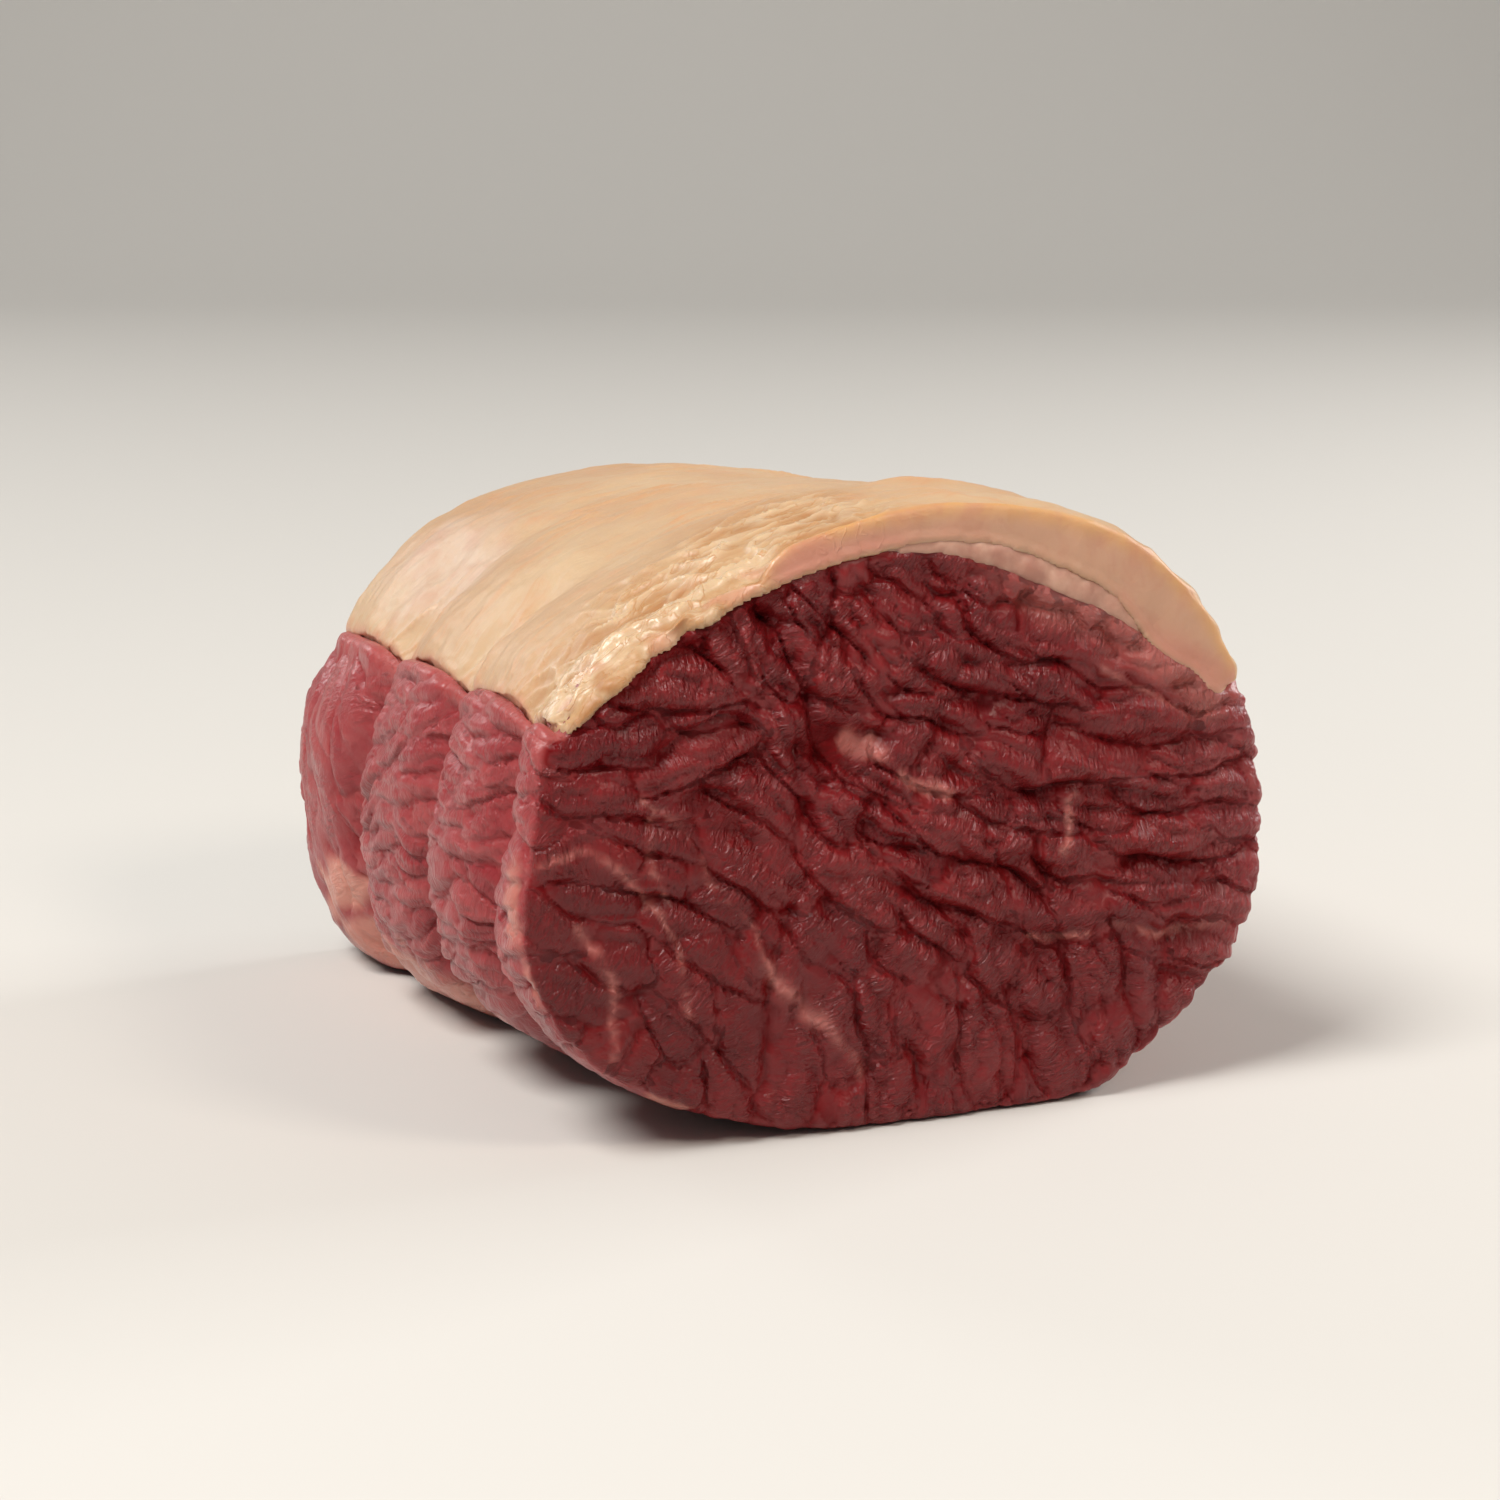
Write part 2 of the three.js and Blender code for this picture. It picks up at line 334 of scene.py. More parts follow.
# %% Where the lobes are
def scatter_lobes(points, facing, tries, apart, size=1.0):
    """Centres and directions of lobes, each with its half length and half width."""
    picks = dice.choice(len(points), min(tries, len(points)), replace=False)
    spots, faces = points[picks], facing[picks]
    along, length, width, height = lobe_frames(spots, faces)
    spread = dice.uniform(0.7, 1.35, (len(picks), 2)) * size / 2
    half = np.stack([length * spread[:, 0], width * spread[:, 1]], axis=1)
    across = unit(np.cross(faces, along))
    across *= np.where(across[:, 2] < 0, -1, 1)[:, None]
    kept = np.empty(len(picks), int)
    there = np.empty((len(picks), 5))     # centre, half length and half width of those kept
    count = 0
    for i in range(len(picks)):
        near = there[:count]
        away = near[:, :3] - spots[i]
        u = away @ along[i] / (near[:, 3] + half[i, 0])
        v = away @ across[i] / (near[:, 4] + half[i, 1])
        w = away @ faces[i] / (near[:, 4] + half[i, 1])
        if count and (u * u + v * v + w * w).min() < apart ** 2 / 4:
            continue
        there[count, :3] = spots[i]
        there[count, 3:] = half[i]
        kept[count] = i
        count += 1
    kept = kept[:count]
    return {
        "spot": spots[kept], "along": along[kept], "across": across[kept], "out": faces[kept],
        "half": half[kept], "height": height[kept], "chance": dice.uniform(0, 1, len(kept)),
    }


points, facing = read_points(lean)
lobes = scatter_lobes(points, facing, 9000, 1.55)
small_lobes = scatter_lobes(points, facing, 40000, 1.5, 0.5)
print(len(lobes["spot"]), "lobes and", len(small_lobes["spot"]), "small ones")

# %% [markdown]
# ## The highest lobe at each point
#
# Each lobe is a long dome that peaks below its middle, because soft meat sags, and the
# surface is the highest dome at each point. Where two domes meet there is a crease. The
# domes overlap more at their ends than at their sides, so the creases along the lobes are
# deep and those across them are shallow. The points are taken block by block, each with
# only the lobes that can reach it.

# %% Raising the lobes
def raise_lobes(points, lobes, overlap, sag, softness, block_size):
    """The highest lobe at each point: its height and number, how far it tops the next one,
    and whether the point lies to the lobe's side (1) or towards one of its ends (0)."""
    reach = block_size * 0.9 + 1.7 * lobes["half"].max()
    blocks, of_block = np.unique(np.floor(points / block_size), axis=0, return_inverse=True)
    order = np.argsort(of_block.ravel(), kind="stable")
    ends = np.cumsum(np.bincount(of_block.ravel()))
    level = np.zeros(len(points))
    owner = np.zeros(len(points), int)
    lead = np.zeros(len(points))
    beside = np.zeros(len(points))
    for block, start, end in zip(blocks, np.concatenate([[0], ends[:-1]]), ends):
        rows = order[start:end]
        row = np.arange(len(rows))
        middle = (block + 0.5) * block_size
        near = np.flatnonzero(np.linalg.norm(lobes["spot"] - middle, axis=1) < reach)
        half_length, half_width = lobes["half"][near].T
        away = points[rows][:, None, :] - lobes["spot"][near]
        u = np.einsum("pnk,nk->pn", away, lobes["along"][near]) / (half_length * overlap)
        v = np.einsum("pnk,nk->pn", away, lobes["across"][near]) / half_width + sag * 0.5
        w = np.einsum("pnk,nk->pn", away, lobes["out"][near]) / (1.5 * half_width)
        v = np.where(v < 0, v / (1 - sag), v / (1 + sag))
        peak = 0.5 * lobes["chance"][near] + 0.75
        rise = lobes["height"][near] * (peak - (u * u + v * v + w * w))
        best = rise.argmax(axis=1)
        top = rise[row, best]
        soft = softness[rows][:, None]
        blended = np.log(np.exp((rise - top[:, None]) / soft).sum(axis=1))
        level[rows] = top + soft[:, 0] * blended
        owner[rows] = near[best]
        beside[rows] = np.abs(v[row, best]) / (np.hypot(u[row, best], v[row, best]) + 0.05)
        rise[row, best] = -np.inf
        lead[rows] = top - rise.max(axis=1)
    return level, owner, lead, beside


# %% [markdown]
# ## Where the lean meets the fat
#
# Under the cover nothing shows, and there the lobes must die away, or they would break
# through the fat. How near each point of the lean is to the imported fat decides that.

# %% Distance from the lean to the fat
FAT_STARTS_UP = 45     # mm; all the fat is higher than this
FAR = 30               # mm; further away makes no difference


def distance_to(node, points, most):
    """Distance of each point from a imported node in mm, at most most."""
    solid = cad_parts[node]
    tree = BVHTree.FromObject(solid, bpy.context.evaluated_depsgraph_get())
    result = np.full(len(points), float(most))
    for i, spot in enumerate(points * MM):
        found = tree.find_nearest(spot, most * MM)[3]
        if found is not None:
            result[i] = found / MM
    return result


to_fat = np.full(len(points), float(FAR))
high = points[:, 2] > FAT_STARTS_UP
to_cover = distance_to("fat_cap", points[high], FAR)
to_fat[high] = np.minimum(to_cover, distance_to("inner_fat", points[high], FAR))
bare = ease(0.3, 2.2, to_fat)
print(percent(bare > 0.5), "% of the lean's surface is bare")

# %% [markdown]
# The lean's other zones come from where a point lies and which way it faces: the front
# face, the uncut sides and the underside. The lower left of the front face is one big
# soft muscle, smoother than the rest, and towards their left and right rims both cut
# faces are flatter.

# %% Zones of the lean
front = ease(0.45, 0.8, -facing[:, 1])
back = ease(0.45, 0.8, facing[:, 1])
side = 1 - front - back
under = ease(0.6, 0.95, -facing[:, 2]) * side
soft_muscle = hump((points[:, 0] + 52) / 34, (points[:, 2] - 34) / 30)
smooth_part = front * ease(0.3, 1.0, soft_muscle * 1.6)
rim = ease(58, 78, np.abs(points[:, 0]))
near_end = ease(76, 80, np.abs(points[:, 1]))
for name, zone in (("front", front), ("side", side), ("smooth part", smooth_part)):
    print(name, "covers", percent(zone), "% of the points")

# %% [markdown]
# ## Lobes and creases on the lean
#
# The points are first moved about a little, so that no lobe is a perfect oval. Then big
# and small lobes are raised. A crease is cut in only along the sides of a lobe, and it
# comes and goes, as the fibres part in some places and cling in others.

# %% Lobes and creases
wandered = drift(drift(points, 12, 1.8, 1), 3.5, 0.45, 5)
level, owner, lead, beside = raise_lobes(wandered, lobes, 1.45, 0.4, 0.1 + 0.15 * side, 10)
small_level, small_owner, small_lead, small_beside = raise_lobes(
    wandered, small_lobes, 1.3, 0.25, 0.07 + 0.05 * side, 5
)

fewer_low_down = 1 - 0.45 * front * ease(48, 30, points[:, 2])
comes = ease(-0.6, 0.1, noise(points, 13, 66)) * fewer_low_down
cut_in = np.exp(-lead / 0.32) * ease(0.3, 0.75, beside) * comes
small_comes = ease(-0.1, 0.4, noise(points, 8, 67))
small_cut_in = np.exp(-small_lead / 0.2) * ease(0.4, 0.8, small_beside) * small_comes
print("lobes peak at", round(float(level.max()), 2), "mm, small ones at",
      round(float(small_level.max()), 2), "mm")

# %% [markdown]
# ## Valleys on the cut face
#
# Some creases are more than the edge of one lobe. Where two muscles meet, a valley runs
# over the face: above it the muscle bulges over, and below it the face slopes gently out
# again. The main valleys start from a pit left of the middle. Each is given by a few
# corners, in mm across and up, with its depth.

# %% Valleys and the pit
VALLEYS = [
    (1.6, [(-28, 108), (-26, 100), (-22, 89), (-19, 79)]),
    (1.7, [(-18, 77), (-20, 67), (-21, 59), (-22, 53), (-26, 40), (-28, 33)]),
    (1.2, [(-67, 79), (-55, 77), (-42, 81), (-34, 78), (-21, 77)]),
    (1.5, [(-11, 78), (1, 74), (11, 69), (31, 65), (46, 61), (70, 58)]),
    (1.5, [(-19, 64), (-11, 60), (-1, 55), (16, 51), (31, 50), (55, 48), (73, 50)]),
    (1.5, [(-20, 53), (-5, 50), (9, 43), (23, 36), (44, 36), (69, 32)]),
    (1.1, [(-52, 70), (-42, 67), (-33, 61), (-22, 53)]),
    (0.9, [(-43, 52), (-32, 44), (-26, 37)]),
    (1.0, [(3, 30), (4, 23), (3, 17)]),
    (0.9, [(36, 28), (38, 19), (37, 14)]),
    (1.3, [(-13, 42), (-5, 35), (5, 26), (13, 20), (18, 25)]),
    (1.3, [(-9, 86), (1, 89), (15, 83), (32, 76), (51, 73), (70, 70)]),
    (1.0, [(-17, 51), (-13, 41)]),
    (1.5, [(8, 112), (13, 111), (21, 110)]),
]
STEEP, GENTLE = 1.3, 3.5                                         # mm, a valley's two flanks
PIT_ACROSS, PIT_UP, PIT_REACH, PIT_DEPTH = -17, 77, 4.5, 2.4     # mm


def gap_to_line(across, up, corners):
    """Distance of places on the face from a line, in mm, above 0 on its left-hand side."""
    nearest = np.full(len(across), 99.0)
    for (x0, z0), (x1, z1) in zip(corners, corners[1:]):
        run = np.array([x1 - x0, z1 - z0], float)
        share = np.clip(((across - x0) * run[0] + (up - z0) * run[1]) / (run @ run), 0, 1)
        off_x, off_z = across - x0 - share * run[0], up - z0 - share * run[1]
        hand = np.where(run[0] * off_z - run[1] * off_x < 0, -1, 1)
        gap = np.hypot(off_x, off_z)
        nearest = np.where(gap < np.abs(nearest), hand * gap, nearest)
    return nearest


valley = np.zeros(len(points))
brow = np.zeros(len(points))
for depth, corners in VALLEYS:
    gap = gap_to_line(wandered[:, 0], wandered[:, 2], corners)
    fall = np.exp(-np.abs(gap / np.where(gap > 0, STEEP, GENTLE)))
    valley = np.maximum(valley, depth * fall * front)
    brow = np.maximum(brow, depth * hump((gap - 3.5) / 3) * front)
pit_gap = np.hypot(points[:, 0] - PIT_ACROSS, points[:, 2] - PIT_UP) + 90 * (1 - front)
pit = PIT_DEPTH * hump(pit_gap / PIT_REACH)
print(len(VALLEYS), "valleys, up to", round(float(valley.max()), 2), "mm deep")

# %% [markdown]
# ## The lean's surface
#
# Heights are added up from coarse to fine: slow swelling, the main lobes, small lobes
# inside them, the valleys and the creases. A lobe sags, so its lower half stands out
# further and ends in a steep drop, while its upper half slopes back gently. That
# unevenness is what makes a cut face catch the light in short curved streaks.

# %% Shape the lean
GROOVE_DEPTH = 2.4     # mm, on the sides
swell = 1.0 * noise(points, 32, 41) + 0.5 * noise(points, 15, 42)
fine = 0.14 * noise(points, 1.9, 51) + 0.15 * noise(points, 4, 52)
grooves = groove_share(wandered) * side
on_cut = 1 - side
dome = (0.64 - 0.26 * rim * on_cut) * (1 + 0.3 * side)
dome *= level - 0.75 * lobes["height"][owner]
small_dome = (0.68 - 0.18 * side) * (1 - 0.3 * smooth_part)
small_dome *= small_level - 0.6 * small_lobes["height"][small_owner]
small_dome *= 1 - 0.5 * rim * on_cut
meeting = (0.45 * brow - 0.85 * valley) * (1 - 0.6 * rim)
creases = (0.8 - 0.3 * side) * cut_in + (0.3 - 0.1 * side) * small_cut_in
creases *= 1 - 0.7 * rim * on_cut
rise = dome + small_dome + swell + meeting - pit + fine - creases - GROOVE_DEPTH * grooves ** 1.5
# hollow grows the lower a point lies below the slow swelling; it feeds the painted shade in the creases.
hollow = ease(0.3, -2.4, rise - swell)
rise *= bare * (1 - 0.6 * under)
print("relief spans", round(float(rise.min()), 2), "to", round(float(rise.max()), 2), "mm")

# %% [markdown]
# Under the cover the lean gives way a little, but at the cut faces it swells against the
# fat, most where the fat is thick, and just below the cover's side edges it rises to meet
# it. So no dark gap shows between the two. A sliver of muscle hangs loose at the front,
# from the lower left rim.

# %% Fit the lean to the fat
STEP_RISE = 2.0                                       # mm, below the cover's side edges
FLAP_PLACE, FLAP_REACH = (-77, -80, 15), (5, 3.5, 4)  # mm
FLAP_PULL = np.array([-3.2, -0.6, -2.0])              # mm, outwards and down
thick_cover = ease(-20, 5, points[:, 0])
rise += (1 - bare) * ((0.2 + 0.9 * thick_cover) * near_end - 0.35 * (1 - near_end))
rise += STEP_RISE * hump((to_fat - 1.0) / 2.4) * ease(0, 0.6, to_fat) * (1 - near_end)
lean_points = points + facing * rise[:, None]
flap = hump(np.linalg.norm((points - FLAP_PLACE) / FLAP_REACH, axis=1))
lean_points += flap[:, None] * FLAP_PULL
lean_points[:, 2] = np.maximum(lean_points[:, 2], 0)
write_points(lean, lean_points)
print("lean rises from", round(rise.min(), 2), "to", round(rise.max(), 2), "mm")

# %% [markdown]
# ## Seams and flecks in the lean
#
# The finish has to know more than the shape: where connective tissue and fat show through.
# Seams are thin silvery lines where muscles meet, flecks are bits of fat in the meat, and
# a pink veil lies where lean turns into fat. Lines are given by their width and corners.

# %% Seams, flecks and veil
SEAMS = [
    (0.8, [(-30, 36), (-29, 33), (-22, 25), (-13, 17), (-7, 8)]),
    (0.35, [(-74, 59), (-66, 60), (-60, 58), (-54, 51), (-48, 42), (-46, 32), (-45, 27)]),
    (0.3, [(-55, 70), (-48, 65), (-42, 58), (-40, 52)]),
    (0.3, [(-52, 68), (-54, 57), (-50, 50)]),
    (0.45, [(-67, 47), (-61, 37), (-60, 30), (-61, 21)]),
    (0.35, [(25, 35), (45, 35), (57, 33), (70, 32)]),
    (0.3, [(-39, 49), (-33, 43), (-30, 36)]),
    (0.35, [(38, 88), (47, 82), (58, 75)]),
]
FLECKS = [
    (1.9, [(-13, 77), (-8, 74)]),
    (1.5, [(-2, 70), (2, 68), (7, 66)]),
    (0.7, [(33, 62), (33, 57), (31, 53)]),
]
uneven_across = wandered[:, 0] + 0.6 * noise(points, 5, 61)
broken = ease(-0.6, 0.3, noise(points, 6, 64))
seam = np.zeros(len(points))
for width, corners in SEAMS:
    gap = gap_to_line(uneven_across, wandered[:, 2], corners)
    seam = np.maximum(seam, np.exp(-np.abs(gap / width) ** 1.2) * broken * front)
ragged = 0.5 * noise(points, 2.5, 62)
fleck = np.zeros(len(points))
for width, corners in FLECKS:
    gap = np.abs(gap_to_line(wandered[:, 0], wandered[:, 2], corners)) / width
    fleck = np.maximum(fleck, ease(1.3, 0.3, gap + ragged) * front)
veil = 0.5 * ease(8, 0, to_fat + 2.5 * noise(points, 6, 68)) * ease(5, 35, points[:, 0])
veil = veil * (1 - side) + 0.35 * ease(4, 0, to_fat) * side
print("seams and flecks cover", percent(seam + fleck > 0.3), "%")

# %% [markdown]
# Bits of outside fat are left on the uncut skin: one low on the last bulge, a strip along
# the bottom of the left side, and scrapings down the left rim of the front face. Each is
# an uneven oval, given by its weight, centre and reach.

# %% Patches of fat on the lean
FAT_PATCHES = [
    (0.95, (-72, 57, 21), (10, 11, 8)),
    (0.8, (-68, 24, 8), (14, 58, 9)),
    (0.55, (-75, -75, 50), (6, 3, 9)),
    (0.5, (-77, -78, 30), (4, 2, 14)),
    (0.6, (-49, -80, 11), (6, 5, 3)),
]
uneven = 0.6 * noise(points, 7, 63)
patch = np.zeros(len(points))
for weight, centre, reach in FAT_PATCHES:
    gap = np.linalg.norm((wandered - centre) / reach, axis=1)
    patch = np.maximum(patch, weight * ease(1.2, 0.6, gap + uneven) * (1 - front))
print("patches cover", percent(patch > 0.3), "% of the lean")

# %% [markdown]
# The other marks give the painted shade, by how deep in a crease a point lies, and how much a point
# takes the paler skin colour: on the uncut skin of the sides, and as painted light on the right rim of
# the cut face. The fibre attribute gives each point its place in its own lobe, along and across, so that
# fine wrinkles can turn with the lobe. They die away at the lobe's edge, where the next lobe's own
# wrinkles take over.

# %% Mark the lean
# crease is painted shade: the lean is darkened in its hollows, along its creases and in the pit.
crease = 0.3 * hollow + (0.85 - 0.45 * side) * cut_in + (0.45 - 0.2 * side) * small_cut_in
crease += pit / 3
# The rim under the film at the left gets the same painted shade, which also makes it less glossy.
crease += 0.35 * ease(5, 0, to_fat) * ease(-18, -35, points[:, 0]) * front
pale = np.clip(0.8 * seam + 0.68 * fleck + veil, 0, 1)
paint(lean, "marks", np.stack([np.clip(crease, 0, 1), pale, patch], axis=1))

# Painted light: the cut face's right rim takes the paler skin colour, standing in for the light from the
# right that falls on it.
painted_lit_rim = 0.65 * front * ease(56, 74, points[:, 0] + 4 * noise(points, 9, 96))
skin = side * (1 - under) + painted_lit_rim
glassy = smooth_part * (1 - painted_lit_rim)
paint(lean, "place", np.stack([skin, lobes["chance"][owner], glassy], axis=1))

wrinkled = (1 - 0.3 * smooth_part) * (1 - 0.55 * side) * ease(-0.9, 0.3, noise(points, 12, 65))
paint(lean, "wrinkled", wrinkled * ease(0.25, 0.9, lead))
offset = points - lobes["spot"][owner]
lengthways = np.einsum("ij,ij->i", offset, lobes["along"][owner])
crossways = np.einsum("ij,ij->i", offset, lobes["across"][owner])
paint(lean, "fibre", np.stack([lengthways, crossways, owner * 7.0], axis=1))
print("creases cover", percent(crease > 0.5), "% of the lean")

# %% [markdown]
# ## Fewer triangles
#
# The fine grid was needed for sculpting, but flat places don't need that many triangles.
# Collapsing the edges that matter least keeps the creases and thins out the rest. The
# attributes painted above come through it.

# %% Thin out the lean
def thin_out(piece, most):
    """Takes away the triangles that matter least, down to a number of them."""
    piece.data.calc_loop_triangles()
    before = len(piece.data.loop_triangles)
    if before > most:
        fewer = piece.modifiers.new("fewer", "DECIMATE")
        fewer.ratio = most / before
        fewer.use_collapse_triangulate = True
        settle(piece)
    piece.data.calc_loop_triangles()
    print(piece.name, "went from", before, "to", len(piece.data.loop_triangles), "triangles")


thin_out(lean, 190000)

# %% [markdown]
# ## The fat cover
#
# Cold fat holds folds. The cover has slow waves in line with the string grooves, long thin
# wrinkles across the joint, and along the left third of its front edge a crinkled film
# that the knife left loose. The first step tells its outer skin from its cut faces and
# from its hidden inner side.

# %% Zones of the cover
AXIS_UP = 45.0     # mm; directions out of the cover start from a line this high
points, facing = read_points(fat)
from_middle = np.abs(points[:, 1])
middle = np.stack([np.zeros(len(points)), points[:, 1], np.full(len(points), AXIS_UP)], axis=1)
outwards = np.einsum("ij,ij->i", unit(points - middle), facing)
face = ease(0.5, 0.85, np.abs(facing[:, 1]))
outer = ease(0.1, 0.5, outwards) * (1 - face)
inside = ease(-0.1, -0.5, outwards) * (1 - face)
print("outer skin is", percent(outer), "% of the cover's points")

# %% [markdown]
# Near the cut ends a point also needs its depth below the outer skin, and the skin's own
# direction there. Both come from the nearest point of the skin.

# %% Depth below the outer skin
skin_rows = np.flatnonzero((outer > 0.7) & (from_middle > 62))[::2]
skin_tree = KDTree(len(skin_rows))
for i, row in enumerate(skin_rows):
    skin_tree.insert(points[row], i)
skin_tree.balance()
below_skin = np.zeros(len(points))
skin_facing = facing.copy()
for i in np.flatnonzero((from_middle > 66) & (outer < 0.7)):
    _, j, below_skin[i] = skin_tree.find(points[i])
    skin_facing[i] = facing[skin_rows[j]]
skin_facing[:, 1] = 0
skin_facing = unit(skin_facing)
print("the cut goes", round(float(below_skin.max()), 1), "mm below the skin")

# %% [markdown]
# Everywhere a point needs its height above the cover's lower edge, on its own side of the
# joint. The edge is the lowest point in each of a row of slices along the joint.

# %% Height above the lower edge
SLICE, SLICES = 2, 90     # mm thick, and how many
HALF = SLICE * SLICES / 2
left = points[:, 0] < 0
of_slice = np.clip(((points[:, 1] + HALF) / SLICE).astype(int), 0, SLICES - 1)
from_edge = np.zeros(len(points))
for half in (left, ~left):
    lowest = [points[half & (of_slice == i), 2].min(initial=999) for i in range(SLICES)]
    lowest = np.array(lowest)
    known = np.flatnonzero(lowest < 999)
    places = SLICE * (known + 0.5) - HALF
    from_edge[half] = points[half, 2] - np.interp(points[half, 1], places, lowest[known])
print("the cover reaches", round(float(from_edge.max())), "mm above its lower edge")

# %% [markdown]
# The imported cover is 2.8 mm thick at its left edge and thicker to the right. The real one
# ends at the front left in a thin film that lies down over the rim of the cut face. So
# its skin is let down there to 1 mm, and a little along the left-hand lower edge.

# %% Thin the front left edge
STAYS = 1.0              # mm of fat that is left everywhere
FILM_ENDS = (-25, -33)   # mm across, from cut fat to film
thickness = np.clip(2.8 + (points[:, 0] + 71) * 0.055, 2.8, 9)     # mm, that can be relied on
near_front = ease(-66, -82, points[:, 1])
near_front *= ease(*FILM_ENDS, points[:, 0] + 2 * noise(points, 8, 98))
near_edge = ease(9, 0, from_edge)
near_left = near_edge * left
thinned = np.maximum(thickness - STAYS, 0) * near_front
thinned = np.maximum(thinned, 0.4 * near_left)
share = np.clip(1 - below_skin / thickness, 0, 1) * (1 - inside)
fat_points = points - skin_facing * (thinned * share)[:, None]
print("the skin is let down by up to", round(float((thinned * share).max()), 2), "mm")

# %% [markdown]
# ## Folds in the fat
#
# Waves, folds and dents are noise drawn out across the joint, because the string pulled
# the fat that way. A ridge is where a noise crosses 0: that gives thin lines that wander
# and fork, as crumpled film does.

# %% Waves, folds and crinkles
def ridges(values, sharpness):
    """1 where the values cross 0, and 0 where they are 1 / sharpness away or more."""
    return np.clip(1 - np.abs(values) * sharpness, 0, 1)


lie = points.copy()
lie[:, 1] += GROOVE_LEAN * (points[:, 2] - MIDDLE_UP) + 0.12 * points[:, 0]
lie = drift(lie, 22, 4.0, 71)
waves = 1.8 * noise(lie, (60, 26, 60), 72) + 0.6 * noise(lie, (30, 12, 30), 73)
folds = ridges(noise(lie, (34, 8, 34), 74), 4) ** 1.5 * ease(-0.1, 0.4, noise(points, 30, 75))
dents = 0.4 * noise(drift(lie, 6, 2, 83), (9, 5, 9), 84)
crinkle = ridges(noise(drift(lie, 12, 6.0, 76), (26, 8, 26), 77), 3.2) ** 2
crinkle_small = ridges(noise(drift(lie, 7, 3.0, 78), (14, 4, 14), 79), 3.2) ** 2
print("folds cover", percent(folds > 0.2), "% of the cover")

# %% [markdown]
# Some features have a place of their own: the film with a hem along its edge and a knot
# near its corner, the uneven rim at the front right, and at the rear left a soft hollow
# as wide as a thumb.

# %% Features with a place
REAR_HOLLOW = (-53, 46, 94)     # mm, on the cover's left, 38 mm from its back
film_from = points[:, 1] - 0.2 * points[:, 0] + 5 * noise(points, 20, 86)
membrane = ease(6, -16, points[:, 0]) * ease(-30, -56, film_from)
knot = hump((points[:, 0] + 58) / 9, (points[:, 1] + 64) / 8)
from_hem = points[:, 1] + 75 + 1.5 * noise(points, 18, 85)
hem = hump(from_hem / 2.2) * ease(*FILM_ENDS, points[:, 0])
right_rim = ease(35, 60, points[:, 0]) * ease(-70, -80, points[:, 1])
rear_hollow = hump(np.linalg.norm((points - REAR_HOLLOW) / (8, 10, 8), axis=1))
print("film covers", percent(membrane > 0.5), "% of the cover's points")

# %% [markdown]
# The heights are added up and limited, so that the skin never goes through the inner
# side. The hidden inner side is swelled into the lean by 0.7 mm, and by more near the ends
# and edges, so that no dark gap shows between the layers. Last, the lower edge is made
# wavy and the film's edge ragged.

# %% Shape the fat cover
rise = outer * (
    waves * (1 - 0.5 * near_left) + 0.8 * folds + dents
    + membrane * (1.1 * crinkle + 0.6 * crinkle_small - 0.4)
    + 1.4 * knot - 2.2 * rear_hollow + 0.5 * hem + 0.1 * noise(points, 2.2, 80)
    + 1.0 * right_rim * noise(points, 6, 81) - 0.9 * groove_share(lie) * (1 - near_left)
)
spare = np.maximum(thickness - thinned - STAYS - 1.5 * near_edge, 0)
rise = np.maximum(rise, -spare * outer)
rise += face * (0.3 + 0.35 * noise(points, 7, 82)) * (1 - 0.7 * near_front) + 0.7 * inside
at_border = np.maximum(ease(77, 80, from_middle), ease(4, 1, from_edge))
rise += 0.8 * ease(-0.1, -0.4, outwards) * at_border
fat_points = fat_points + facing * rise[:, None]

wavy = near_edge * (1.3 * noise(points, 13, 93) + 0.5 * noise(points, 4, 94))
fat_points[:, 2] += wavy * (1 - near_front)
fat_points[:, 1] += near_front * (2.2 * noise(points, 9, 88) + 0.8 * noise(points, 3, 89))
curled = near_front * (1 - inside) * 0.7 * noise(points, 4, 90)
fat_points += skin_facing * curled[:, None]
write_points(fat, fat_points)
print("fat rises from", round(rise.min(), 2), "to", round(rise.max(), 2), "mm")

# %% [markdown]
# ## Marks on the fat
#
# Fat is not one colour. On the cut it is yellow outside and pink near the meat; the film
# is golden; thin edges let the red below show through; and at the rear left the cover
# thins to a whitish, faintly pink skin. Each of these is painted as an attribute.

# %% Mark the fat cover
filmy = np.maximum(membrane, near_front)
marks = [face * (1 - near_front), filmy * (1 - inside), np.clip(folds * outer, 0, 1)]
paint(fat, "marks", np.stack(marks, axis=1))

to_lean = np.full(len(points), 20.0)
to_lean[face > 0.2] = distance_to("lean", points[face > 0.2], 20)
near_lean = ease(6, 0.5, to_lean + 1.5 * noise(points, 9, 87))
from_hollow = np.linalg.norm((points - REAR_HOLLOW) / (14, 24, 14), axis=1)
mottled = 0.8 * outer * ease(1.5, 0.5, from_hollow + 0.35 * noise(points, 9, 99))
paint(fat, "layers", np.stack([ease(0, 5, below_skin), near_lean, mottled], axis=1))

crumpled = (crinkle * 0.7 + crinkle_small * 0.5 + hem) * filmy
paint(fat, "crinkle", np.clip(crumpled, 0, 1))
see_through = 0.5 * near_front * ease(0.0, 0.5, noise(lie, (9, 5, 9), 97)) * (1 - inside)
low_edge = 0.6 * ease(3.5, 0, from_edge + 1.5 * noise(points, 5, 92)) * (1 - near_front)
paint(fat, "thin_edge", see_through + low_edge)
thin_out(fat, 180000)

# %% [markdown]
# ## The inner fat
#
# The thin layer under the cover shows only its two ends, at the cut faces. Its hidden
# sides swell by just under 1 mm into its neighbours, which closes the seams, and its
# ends are softly lumpy.

